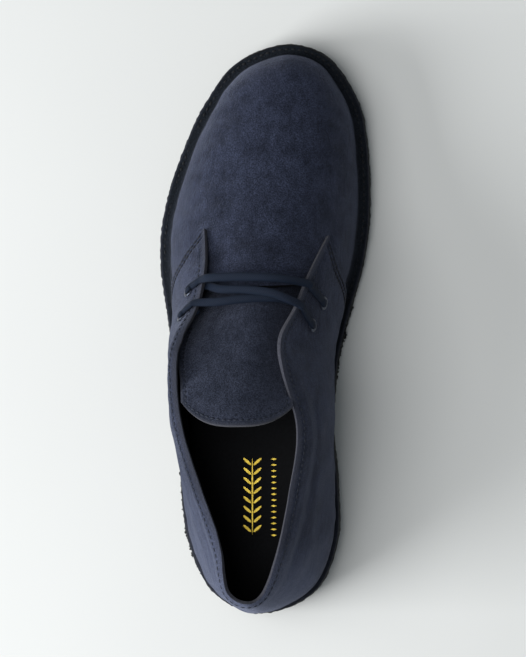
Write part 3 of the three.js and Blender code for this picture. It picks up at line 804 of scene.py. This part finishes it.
def quarter_rib_at(q, share):
    s = np.clip(share, 0, 1)
    medial = TOE_RIB + SEAM_FOOT + (SEAM_MEDIAL - SEAM_FOOT) * s
    lateral = TOE_RIB - SEAM_FOOT - (SEAM_LATERAL - SEAM_FOOT) * s
    return medial + (lateral + RIBS - medial) * q


def quarter_lap(t, share):
    pair = np.minimum(t - TOE_RIB, TOE_RIB + RIBS - t)
    return LAP * (1 - smoothstep(pair, 7.0, 9.0)) * (0.55 + 0.45 * smoothstep(share, -0.6, 0.15))


def seam_pace(t, s):
    return np.linalg.norm(quarter_at(t + 0.01, s) - quarter_at(t - 0.01, s), axis=-1) / 0.02


def behind_seam(t, share):
    """Distance behind the nearer front seam, in millimetres."""
    s = np.clip(share, 0, 1)
    medial, lateral = quarter_rib_at(0.0, s), quarter_rib_at(1.0, s)
    behind_medial = (t - medial) * seam_pace(medial + 0.1, s)
    return np.minimum(behind_medial, (lateral - t) * seam_pace(lateral - 0.1, s))


def below_edge(t, share):
    """Distance below the top edge, in millimetres."""
    height = np.linalg.norm(quarter_at(t, 1.0) - quarter_at(t, 0.96), axis=-1) / 0.04
    return (1 - share) * (1 - WALL_START) * height


def stitch_grooves(t, share):
    behind, below = behind_seam(t, share), below_edge(t, share)
    groove = sum(GROOVE * np.exp(-(((behind - row) / 0.7) ** 2)) for row in SEAM_ROWS)
    puff = PUFF * np.exp(-(((behind - np.mean(SEAM_ROWS)) / 0.6) ** 2))
    groove = (groove - puff) * smoothstep(share, -0.1, 0.05) * smoothstep(below, 0.5, 2.0)
    collar = COLLAR_GROOVE * np.exp(-(((below - COLLAR_ROW) / 0.6) ** 2))
    return groove + collar * smoothstep(behind, 5.0, 7.0)


ROLL_DEPTH = 6.5
ROLL = np.array([  # rib, how far the top edge is rolled in towards the foot, in millimetres
    (19.0, 0.0), (22.3, 0.3), (23.0, 1.2), (24.0, 2.4), (25.0, 3.5), (26.0, 2.6), (27.0, 2.2),
    (28.0, 2.2), (29.0, 1.9), (29.6, 2.2), (30.3, 3.8), (31.0, 3.9), (33.0, 3.9), (34.0, 3.7),
    (34.6, 2.0), (35.0, 0.8), (35.5, 0.2), (37.0, 0.0),
])


def roll_in(t, share):
    """Shift of the top of the quarters as their edge rolls over, in and a little down."""
    amount = np.interp(t, ROLL[:, 0], ROLL[:, 1])
    turned = np.clip(1 - below_edge(t, share) / ROLL_DEPTH, 0, 1) ** 2
    inwards = -normal_at(quarter_at, t, 1.0)
    inwards[..., 2] = 0
    inwards /= np.linalg.norm(inwards, axis=-1, keepdims=True)
    shift = inwards * (amount * turned)[..., None]
    shift[..., 2] = -0.42 * amount * turned ** 1.5
    return shift


def quarter_surface(t, share):
    t, share = np.broadcast_arrays(np.asarray(t, float), np.asarray(share, float))
    laid = flared(quarter_at, t, share, quarter_lap(t, share) - stitch_grooves(t, share))
    return laid + roll_in(t, share)


def quarter_panel():
    share = np.concatenate((flare_shares, 1 - (1 - np.linspace(0, 1, QUARTER_UP)) ** 1.35))[None, :]
    q = np.linspace(0, 1, QUARTER_ROWS)[:, None]
    q = q - 0.6 * np.sin(2 * math.pi * q) / (2 * math.pi)
    share, q = np.broadcast_arrays(share, q)
    t = quarter_rib_at(q, share)
    rim = 1 - smoothstep(below_edge(t, share), *RIM_BAND)
    # Painted shade: also darker along the stitch grooves, for the shade that lies in them.
    dye = np.maximum(painted_shade_at(share), np.clip(2.0 * stitch_grooves(t, share), 0, 0.75))
    places = quarter_surface(t, share)
    # Paler towards the back of the heel, clear of the foot of the wall, and most on the medial
    # side.
    medial = smoothstep(-t, -29.5, -27.0)
    heel = smoothstep(-places[..., 1], 62 + 36 * medial, 128 + 8 * medial)
    pale = heel * (0.5 + 0.5 * medial) * smoothstep(share, 0.05, 0.35)
    paints = {"dye": dye, "rim": rim, "pale": pale}
    return lay_grid("quarters", places, turn=False, paints=paints)


quarters = quarter_panel()
thicken(quarters, SUEDE, [suede, lining, cut_edge])

# %% Eyelet holes
EYELETS = {  # rib and height on the quarter
    "eyelet_lateral_lower": (7.34 + RIBS, 0.83),
    "eyelet_lateral_upper": (6.62 + RIBS, 0.84),
    "eyelet_medial_lower": (20.82, 0.72),
    "eyelet_medial_upper": (21.47, 0.76),
}
BARREL = 2.4


def quarter_line(t, share):
    """Places on the outside of the quarters and their outward directions."""
    height = WALL_START + (1 - WALL_START) * np.clip(share, 0, 1)
    return quarter_surface(t, share), normal_at(quarter_at, t, height)


def on_quarter(t, s, lift=0.0):
    """The same for heights on the last, with the places lifted off the suede."""
    place, normal = quarter_line(t, (np.asarray(s, float) - WALL_START) / (1 - WALL_START))
    return place + normal * lift, normal


def eyelet_seat(name):
    """Centre on the outside, outward direction and direction to the throat, of one eyelet."""
    t, s = EYELETS[name]
    centre, normal = on_quarter(t, s)
    throat = quarter_at(t, min(s + 0.05, 1)) - quarter_at(t, s - 0.05)
    throat -= normal * (throat @ normal)
    return Vector(centre), Vector(normal), Vector(throat).normalized()


def cut_holes(panel):
    punches = []
    for name in EYELETS:
        centre, normal, _ = eyelet_seat(name)
        punches.append(add_mesh(bpy.ops.mesh.primitive_cylinder_add, vertices=24,
                                radius=BARREL * MM, depth=10 * MM, location=centre * MM,
                                rotation=normal.to_track_quat("Z", "Y").to_euler()))
    punch = join(punches, "punch")
    apply_modifier(panel, "BOOLEAN", operation="DIFFERENCE", solver="EXACT", object=punch)
    bpy.data.objects.remove(punch)


cut_holes(quarters)
finish_piece(quarters, ["upper"])

# %% [markdown]
# ## Tongue
#
# The tongue is a wide tab sewn inside the vamp. It follows the instep, so its middle stands
# higher than its sides, and the corners of its end are rounded. It is laid out by rows from
# under the vamp to its end, and a line of stitching runs just inside its edge.

# %% Tongue panel
TONGUE = np.array([  # middle y, x, z, half widths lateral and medial, drops lateral and medial
    (34.0, 2.4, 69.0, 16.0, 16.0, 5.0, 5.5),
    (14.0, 0.0, 79.0, 22.0, 19.0, 8.0, 9.0),
    (-4.0, -5.0, 89.5, 28.0, 21.5, 10.0, 13.5),
    (-22.0, -8.0, 100.5, 29.5, 23.0, 9.0, 14.0),
    (-47.0, -8.5, 113.5, 28.0, 26.5, 7.0, 9.0),
])
ROUND_LATERAL, ROUND_MEDIAL = 11.0, 9.0
SIDE_LATERAL, SIDE_MEDIAL = 0.16, 0.08  # sides cut wider and tucked down beside the facings
TONGUE_LENGTH, TONGUE_HALF = 62.0, 27.0  # along its middle and from there to its side
TONGUE_ROW = 2.4  # of the stitches, in from the edge


def tongue_at(w, v):
    w, v = np.broadcast_arrays(np.asarray(w, float), np.asarray(v, float))
    last = len(TONGUE) - 1
    y, x, z, lateral, medial, drop_lateral, drop_medial = np.moveaxis(
        spline(TONGUE, np.minimum(w * last, last - 1e-9), False), -1, 0)
    half = np.where(v < 0, lateral, medial)
    drop = np.where(v < 0, drop_lateral, drop_medial)
    corner = np.where(v < 0, ROUND_LATERAL, ROUND_MEDIAL)
    side = np.where(v < 0, SIDE_LATERAL, SIDE_MEDIAL)
    tuck = side * np.sin(math.pi * np.clip(w * 1.15, 0, 1))
    tuck = tuck + 0.3 * (1 - smoothstep(w, 0.15, 0.6))
    wide = v * (1 + tuck * np.abs(v) ** 3)
    back = corner * np.abs(v) ** 3 * smoothstep(w, 0.3, 1)
    high = z - drop * wide * wide * (1 + tuck) - 0.45 * back
    return np.stack((x + wide * half, y + back, high), -1)


def tongue_edge(w, v):
    """Distance in from the nearer edge, in millimetres."""
    return np.minimum((1 - w) * TONGUE_LENGTH, (1 - np.abs(v)) * TONGUE_HALF)


def tongue_wave(w, v):
    """Height of slow waves of the tab and of the groove under its stitching."""
    slow = 0.45 * np.sin(5.2 * w + 1.1) * np.cos(2.3 * v + 0.4) + 0.25 * np.sin(9.0 * w - 2.1 * v)
    groove = 0.3 * np.exp(-(((tongue_edge(w, v) - TONGUE_ROW) / 0.6) ** 2))
    return slow - groove * smoothstep(w, 0.3, 0.5)


def tongue_surface(w, v):
    step = 0.01
    run_w = tongue_at(w + step, v) - tongue_at(w - step, v)
    run_v = tongue_at(w, v + step) - tongue_at(w, v - step)
    normal = np.cross(run_w, run_v)
    normal *= np.sign(normal[..., 2:])
    normal /= np.linalg.norm(normal, axis=-1, keepdims=True)
    return tongue_at(w, v) + normal * tongue_wave(w, v)[..., None], normal


w, v = np.meshgrid(np.linspace(0.01, 1, 120), np.sin(np.linspace(-1, 1, 90) * math.pi / 2),
                   indexing="ij")
tongue_rim = 1 - smoothstep(tongue_edge(w, v), 0.2, 2.4)
tongue_tab = lay_grid("tongue_tab", tongue_surface(w, v)[0], turn=True,
                      paints={"rim": tongue_rim})
thicken(tongue_tab, 1.9, [tongue_suede, lining, cut_edge], 0.6)
finish_piece(tongue_tab, ["tongue"])

# %% [markdown]
# ## Sole
#
# Crepe is raw rubber rolled into sheets, so its cut edge is rough and layered. Each layer of the
# sole is a grid of sections: every row goes once round the section, across the underside, up one
# wall, back over the top and down the other wall, and the rows close to a line at toe and heel.

# %% Layers of the sole
def layer_rows(first, count, across, levels):
    """Sections of a layer. levels are (outline, inset, height) from the bottom to the top edge."""
    pair = np.linspace(first, TOE_RIB, count)

    def edge(side, rows, inset, height):
        plan = inside(rows, TOE_RIB + side * pair, np.full(count, inset))
        return at_height(plan, height(plan[:, 1]))

    lateral, medial = ([edge(side, *level) for level in levels] for side in (-1, 1))
    shares = np.linspace(0, 1, across)[None, :, None]

    def face(level, height):
        flat = lateral[level][:, None] * (1 - shares) + medial[level][:, None] * shares
        flat[..., 2] = height(flat[..., 1])
        return flat

    bottom, top = face(0, levels[0][2]), face(-1, levels[-1][2])
    up, down = np.stack(medial[1:-1], 1), np.stack(lateral[-2:0:-1], 1)
    return np.concatenate((bottom, up, top[:, ::-1], down, bottom[:, :1]), 1)


def sole_layer(name, rows, bottom, top, insets, count, across, first=0):
    """A layer whose walls have these insets at even heights from the bottom to the top edge."""
    shares = np.linspace(0, 1, len(insets))
    levels = [(rows, inset, lambda y, f=f: bottom(y) * (1 - f) + top(y) * f)
              for inset, f in zip(insets, shares)]
    return lay_grid(name, layer_rows(first, count, across, levels))


def crepe_top(y):
    return crepe_bottom(y) + CREPE


CREPE_LUMP = 2.4

crepe_sheet = sole_layer("crepe_sheet", EDGE, crepe_bottom, crepe_top, [
    1.4, 0.45, 0.15, 0.3, 0.1, 0.25, 0.05, 0.3, 0.15, 0.5, 1.1], 420, 18)
roughen(crepe_sheet, "crepe lumps", CREPE_LUMP, 1.3, 3)
finish_piece(crepe_sheet, ["outsole"], [crepe])

# %% Heel lift
crepe_lift = sole_layer("crepe_lift", EDGE, lambda y: 0 * y, lambda y: crepe_bottom(y) - GAP, [
    1.6, 0.7, 0.5, 0.35, 0.5, 0.2, 0.35, 0.3, 0.9], 150, 18, HEEL_BREAST)
only(crepe_lift)
start_edit()
bpy.ops.mesh.select_all(action="DESELECT")
bpy.ops.mesh.select_non_manifold()
bpy.ops.mesh.edge_face_add()
bpy.ops.mesh.inset(thickness=0.8 * MM)
end_edit()
roughen(crepe_lift, "crepe lumps", CREPE_LUMP, 0.9, 3)
finish_piece(crepe_lift, ["heel_lift"], [crepe])

# %% Crumbs of rubber left by the knife
CRUMB_RUNS = ((1, -26.0, 12.0, 90), (-1, -128.0, -48.0, 80))  # side, first y, last y, count


def edge_at_y(side, y):
    """Place and outward direction of the sole's edge at y, on one side."""
    t = np.linspace(0.5, 13.5, 600) if side < 0 else np.linspace(14.5, 27.5, 600)
    rim = spline(EDGE, t, True)
    t = t[np.argmin(np.abs(rim[:, 1] - y))]
    return spline(EDGE, t, True), outward(EDGE, t)


def add_crumbs():
    model = add_mesh(bpy.ops.mesh.primitive_ico_sphere_add, subdivisions=1, radius=1.0)
    crumbs = []
    for side, first, last, count in CRUMB_RUNS:
        for y in rng.uniform(first, last, count):
            rim, out = edge_at_y(side, y)
            height = float(crepe_bottom(y)) + rng.uniform(0.05, 0.98) * CREPE
            at = Vector((*(rim + out * rng.uniform(-0.6, 0.3)), height))
            size = Vector(rng.uniform(0.25, 0.75, 3)) * (1.8 if rng.random() < 0.10 else 1.0)
            turn = facing(Vector(rng.normal(size=3)))
            size = Matrix.Diagonal((*(size * MM), 1))
            crumbs.append(copy_of(model, Matrix.Translation(at * MM) @ turn @ size))
    bpy.data.objects.remove(model)
    return join(crumbs, "crepe_crumbs")


finish_piece(add_crumbs(), [], [crepe], smooth=False)

# %% Midsole
midsole_board = sole_layer("midsole_board", EDGE, lambda y: crepe_top(y) + GAP,
                           lambda y: crepe_top(y) + GAP + MIDSOLE, [1.0, 0.7, 0.7, 0.8, 1.2],
                           300, 8)
roughen(midsole_board, "board edge", 5.0, 0.3)
finish_piece(midsole_board, ["midsole"], [board])

# %% [markdown]
# ## Footbed
#
# The footbed is a thin dark pad, slightly dished, with a stamped gold device under the heel. The
# stamp here is a plain ornament of leaves and lozenges, made as thin raised shapes.

# %% Footbed
footbed_finish = grained("dark footbed", (9, 10, 13), (16, 17, 21), (600.0, 5.0, 0.6),
                         (0.35, 0.0002), Roughness=0.7, Specular_IOR_Level=0.12)
footbed = sole_layer("footbed", FEATHER, upper_foot, lambda y: upper_foot(y) + INSOLE,
                     [2.6, 2.3, 2.5, 3.2], 240, 26)
finish_piece(footbed, ["insole"], [footbed_finish])

# %% Gold ornament
gold = grained("gold foil", (150, 126, 40), (194, 170, 72), (1200.0,), (0.2, 0.0001),
               Metallic=0.9, Roughness=0.38)
FOIL_HIGH, FOIL_SUNK = 0.15, 0.05


def foil_shape(sides, at, size, turn=0.0):
    shape = add_mesh(bpy.ops.mesh.primitive_circle_add, vertices=sides, radius=1.0,
                     fill_type="NGON")
    start_edit()
    bpy.ops.mesh.extrude_region_move(TRANSFORM_OT_translate={"value": (0, 0, FOIL_HIGH * MM)})
    end_edit()
    z = float(upper_foot(at[1])) + INSOLE - FOIL_SUNK
    place = Matrix.Translation(Vector((*at, z)) * MM) @ Matrix.Rotation(turn, 4, "Z")
    shape.data.transform(place @ Matrix.Diagonal((size[0] * MM, size[1] * MM, 1, 1)))
    return shape


STEM_X, BORDER_X = -5.6, 5.4
shapes = [foil_shape(12, (STEM_X, -86.0), (0.38, 20.0))]
for step in range(8):
    for side in (-1, 1):
        leaf_at = (STEM_X + side * 2.6, -104.0 + step * 4.9 + 1.4)
        shapes.append(foil_shape(10, leaf_at, (0.7, 2.7), side * -0.85))
for step in range(14):
    shapes.append(foil_shape(4, (BORDER_X, -106.0 + step * 3.0), (1.5, 0.55)))
ornament = join(shapes, "footbed_ornament")
finish_piece(ornament, [], [gold], smooth=False)

# %% [markdown]
# ## Eyelets
#
# An eyelet is a thin metal ring rolled over the edge of a hole. Its section is drawn once and
# spun round an axis, which is the surest way to a clean round form, and the four rings are copies
# set on the quarters.

# %% Eyelet rings
metal = grained("dark lacquered metal", (44, 48, 60), (78, 84, 98), (800.0,), low=0.35,
                Metallic=0.85, Roughness=0.34)

SECTION = [  # radius and height of its corners
    (1.9, -2.3), (2.35, -2.3), (2.4, 0.0), (3.25, 0.1), (3.45, 0.35), (3.2, 0.75),
    (2.6, 0.95), (2.05, 0.7),
]
RING_LIFT = 0.1


def eyelet_ring():
    ring = add_mesh(bpy.ops.mesh.primitive_circle_add, vertices=len(SECTION), radius=MM)
    for vertex, (radius, z) in zip(ring.data.vertices, SECTION):
        vertex.co = (radius * MM, 0, z * MM)
    start_edit()
    bpy.ops.mesh.spin(steps=32, angle=2 * math.pi, center=(0, 0, 0), axis=(0, 0, 1))
    bpy.ops.mesh.select_all(action="SELECT")
    bpy.ops.mesh.remove_doubles(threshold=SAME_PLACE)
    end_edit()
    return ring


ring_model = eyelet_ring()
for name in EYELETS:
    centre, normal, _ = eyelet_seat(name)
    seat = Matrix.Translation((centre + normal * RING_LIFT) * MM)
    ring = copy_of(ring_model, seat @ facing(normal))
    ring.name = ring.data.name = name.replace("eyelet", "ring")
    finish_piece(ring, [name], [metal])
bpy.data.objects.remove(ring_model)

# %% [markdown]
# ## Lace
#
# The lace is one flat-oval cord. It rises inside the medial upper hole, crosses to the lateral
# lower hole from beneath, passes straight over the throat to the medial lower hole, and crosses
# back to the lateral upper hole. Its path is worked out from the seats of the eyelets, with a
# direction for its flat side at every point, and an oval section is swept along it.

# %% Path of the lace
LACE_WIDE, LACE_HIGH = 4.3, 2.2
INNER = -SUEDE - LACE_HIGH / 2 - 0.35  # lift of a run under the quarter
OUTER = LACE_HIGH / 2 + 0.25


def run_on_quarter(start, stop, lifts, count):
    """Points of a run along the quarters between two (rib, height) pairs."""
    shares = np.linspace(0, 1, count)
    t, s, lift = (a * (1 - shares) + b * shares
                  for a, b in ((start[0], stop[0]), (start[1], stop[1]), lifts))
    return [(place, normal, 1.0) for place, normal in zip(*on_quarter(t, s, lift[:, None]))]


def through_hole(name):
    """Points down one eyelet, from just outside it to just inside."""
    centre, normal, throat = (np.array(a) for a in eyelet_seat(name))
    return [
        (centre + throat * 2.6 + normal * 2.0, normal, 0.95),
        (centre + throat * 0.8 + normal * 1.3, normal - throat * 0.7, 0.8),
        (centre - normal * 1.2 - throat * 0.1, -throat, 0.7),
        (centre - normal * 3.4 + throat * 0.8, -throat - normal * 0.5, 0.8),
    ]


def crossing(*points):
    """Free points over the throat, each an x, y, z and the lean of the flat side."""
    return [((x, y, z), (lean, 0.15, 1), 1.0) for x, y, z, lean in points]


hole = {name: through_hole(name) for name in EYELETS}
LACE_PATH = (
    run_on_quarter((21.15, 0.93), (21.38, 0.82), (INNER, INNER), 3)
    + hole["eyelet_medial_upper"][::-1]
    + run_on_quarter((21.34, 0.83), (20.98, 0.995), (OUTER, OUTER + 0.5), 4)
    + crossing((14.6, 14.2, 87.0, 0.35), (6.0, 17.2, 88.0, 0.1), (-6.0, 18.6, 86.6, -0.15),
               (-18.0, 18.9, 82.2, -0.4))
    + run_on_quarter((35.56, 1.0), (35.42, 0.90), (INNER, INNER), 2)
    + hole["eyelet_lateral_lower"][::-1]
    + run_on_quarter((35.40, 0.87), (35.58, 1.0), (OUTER, OUTER + 0.4), 3)
    + crossing((-24.0, 24.6, 80.8, -0.3), (-12.0, 25.0, 83.4, -0.1), (2.0, 24.8, 84.6, 0.0),
               (13.0, 23.9, 82.6, 0.3))
    + run_on_quarter((20.44, 1.0), (20.74, 0.785), (OUTER + 0.4, OUTER), 5)
    + hole["eyelet_medial_lower"]
    + run_on_quarter((20.78, 0.80), (20.84, 0.99), (INNER, INNER - 1.0), 3)
    + crossing((10.0, 14.6, 84.6, 0.15), (0.0, 14.6, 87.0, 0.0), (-10.0, 13.8, 87.8, -0.1),
               (-20.0, 12.6, 87.2, -0.25))
    + run_on_quarter((34.96, 1.0), (34.70, 0.885), (OUTER + 0.6, OUTER), 4)
    + hole["eyelet_lateral_upper"]
    + run_on_quarter((34.70, 0.88), (34.95, 0.98), (INNER, INNER), 3)
)


AROUND, CORD_STEP, SQUARENESS, END_STEPS = 14, 0.5, 2.4, 3.0


def sweep(name, path, width, height):
    """A closed cord of oval section along a path of (place, way its flat side faces, scale)."""
    places, ups, scales = (np.array(column, float) for column in zip(*path))
    ups /= np.linalg.norm(ups, axis=1, keepdims=True)
    lengths = np.linalg.norm(np.diff(places, axis=0), axis=1)
    knots = np.concatenate(([0], np.cumsum(lengths)))
    count = int(knots[-1] / CORD_STEP)
    index = np.interp(np.linspace(0, knots[-1], count), knots, np.arange(len(path)))
    centre = spline(places, index, False)
    up = spline(ups, index, False)
    scale = np.interp(index, np.arange(len(path)), scales)
    end = np.minimum(np.arange(count), np.arange(count)[::-1]) / END_STEPS
    scale = scale * np.sqrt(np.clip(end, 0, 1))
    along = np.gradient(centre, axis=0)
    along /= np.linalg.norm(along, axis=1, keepdims=True)
    side = np.cross(along, up)
    side /= np.linalg.norm(side, axis=1, keepdims=True)
    up = np.cross(side, along)
    angle = np.linspace(0, 2 * math.pi, AROUND + 1)
    wide, high = (np.sign(wave) * np.abs(wave) ** (2 / SQUARENESS) * size / 2
                  for wave, size in ((np.cos(angle), width), (np.sin(angle), height)))
    section = side[:, None] * wide[None, :, None] + up[:, None] * high[None, :, None]
    print(name, "length, mm:", round(float(knots[-1]), 1))
    return lay_grid(name, centre[:, None] + section * scale[:, None, None])


lace_finish = Finish("navy waxed lace", Roughness=0.75, Specular_IOR_Level=0.2)
weave = {"Vector": lace_finish.place((8.0, 190.0, 1.0), "UV"), "Scale": 1.0, "Distortion": 1.0}
braid = lace_finish.add("ShaderNodeTexWave", weave, bands_direction="DIAGONAL").outputs["Fac"]
lace_tone = lace_finish.weigh(braid, lace_finish.noise(1600.0), 0.6)
lace_finish.colour(lace_finish.tones(lace_tone, (7, 15, 28), (20, 33, 53), 0.25, 0.75))
lace_finish.relief((lace_tone, 0.8, 0.0004))
lace = sweep("lace", LACE_PATH, LACE_WIDE, LACE_HIGH)
finish_piece(lace, ["lace_bar", "lace_crossing"], [lace_finish])

# %% [markdown]
# ## Stitching
#
# Every seam shows rows of short stitches. One stitch is a small bead of thread, drawn out along
# the seam. It is modelled once and copied along each row at an even pitch, with its ends sunk in
# the suede.

# %% Stitch rows
PITCH = 3.1
STITCH = Vector((1.1, 0.6, 0.5))  # half its length, width and height
LINE_STEP = 0.3  # how far ahead the direction of a row is read


def stitch_model():
    stitch = add_mesh(bpy.ops.mesh.primitive_uv_sphere_add, segments=6, ring_count=5,
                      radius=1.0, rotation=(0, math.pi / 2, 0))
    bpy.ops.object.transform_apply(location=False, rotation=True, scale=False)
    start_edit()
    bpy.ops.transform.resize(value=STITCH * MM)
    end_edit(outwards=False)
    return stitch


def evenly(points, normals, pitch):
    """Places, directions and outward directions at an even pitch along a line of points."""
    lengths = np.linalg.norm(np.diff(points, axis=0), axis=1)
    knots = np.concatenate(([0], np.cumsum(lengths)))
    marks = np.arange(pitch / 2, knots[-1] - pitch / 2, pitch)
    at, ahead, out = (np.stack([np.interp(marks + step, knots, column) for column in table.T], 1)
                      for table, step in ((points, 0), (points, LINE_STEP), (normals, 0)))
    return at, ahead - at, out


def stitch_row(name, points, normals, thread, pitch=PITCH, sunk=0.02):
    model = stitch_model()
    stitches = []
    for at, run, out in zip(*evenly(points, normals, pitch)):
        x = Vector(run).normalized()
        y = Vector(out).normalized().cross(x).normalized()
        z = x.cross(y)
        turn = Matrix((x, y, z)).transposed().to_4x4()
        stitches.append(copy_of(model, Matrix.Translation((Vector(at) - z * sunk) * MM) @ turn))
    bpy.data.objects.remove(model)
    return finish_piece(join(stitches, name), [], [thread])


def back_from_seam(side, offset, s):
    """Rib places a set distance behind the front seam, at heights s."""
    start, way = (0.0, 1.0) if side == "medial" else (1.0, -1.0)
    t = quarter_rib_at(start, s)
    return t + way * offset / seam_pace(t + way * 0.1, s)


for side in ("lateral", "medial"):
    for row, offset in enumerate(SEAM_ROWS):
        s = np.linspace(0.0, 0.965 - 0.02 * row, 120)
        line = quarter_line(back_from_seam(side, offset, s), s)
        stitch_row(f"seam_stitches_{side}_{row + 1}", *line, seam_thread, sunk=-0.3)

# %% Collar and facing stitches
def edge_line(first, last, below, count=500):
    """A line on the quarters a set distance below their top edge."""
    t = np.linspace(first, last, count)
    return quarter_line(t, 1 - below / below_edge(t, 0.0))


collar = edge_line(TOE_RIB + 6.1, TOE_RIB + RIBS - 5.9, COLLAR_ROW)
stitch_row("collar_stitches", *collar, edge_thread)

# %% Tongue stitches
def tongue_line():
    w_end, v_side = 1 - TONGUE_ROW / TONGUE_LENGTH, 1 - TONGUE_ROW / TONGUE_HALF
    up, over = np.linspace(0.45, w_end, 90), np.linspace(-v_side, v_side, 140)
    w = np.concatenate((up, np.full(len(over), w_end), up[::-1]))
    v = np.concatenate((np.full(len(up), -v_side), over, np.full(len(up), v_side)))
    return tongue_surface(w, v)


stitch_row("tongue_stitches", *tongue_line(), edge_thread, pitch=2.9)

# %% Flange stitches
def flange_line(first, last, from_edge, count=700):
    """A line on the turned-out edge, a set distance in from its rim."""
    t = np.linspace(first, last, count)
    width = flange_width(t)
    plan = inside(FEATHER, t, -(width - from_edge))
    up = np.tile((0.0, 0.0, 1.0), (count, 1))
    return at_height(plan, upper_foot(plan[:, 1]) + FLANGE + 0.05), up


stitch_row("flange_stitches", *flange_line(5.2, 22.8, 1.6), welt_thread, pitch=3.4, sunk=0.2)

# %% [markdown]
# ## Pieces made
#
# The number of pieces made and of their faces is printed.

# %% Pieces and faces
print("pieces:", len(made), "faces:", sum(len(piece.data.polygons) for piece in made))
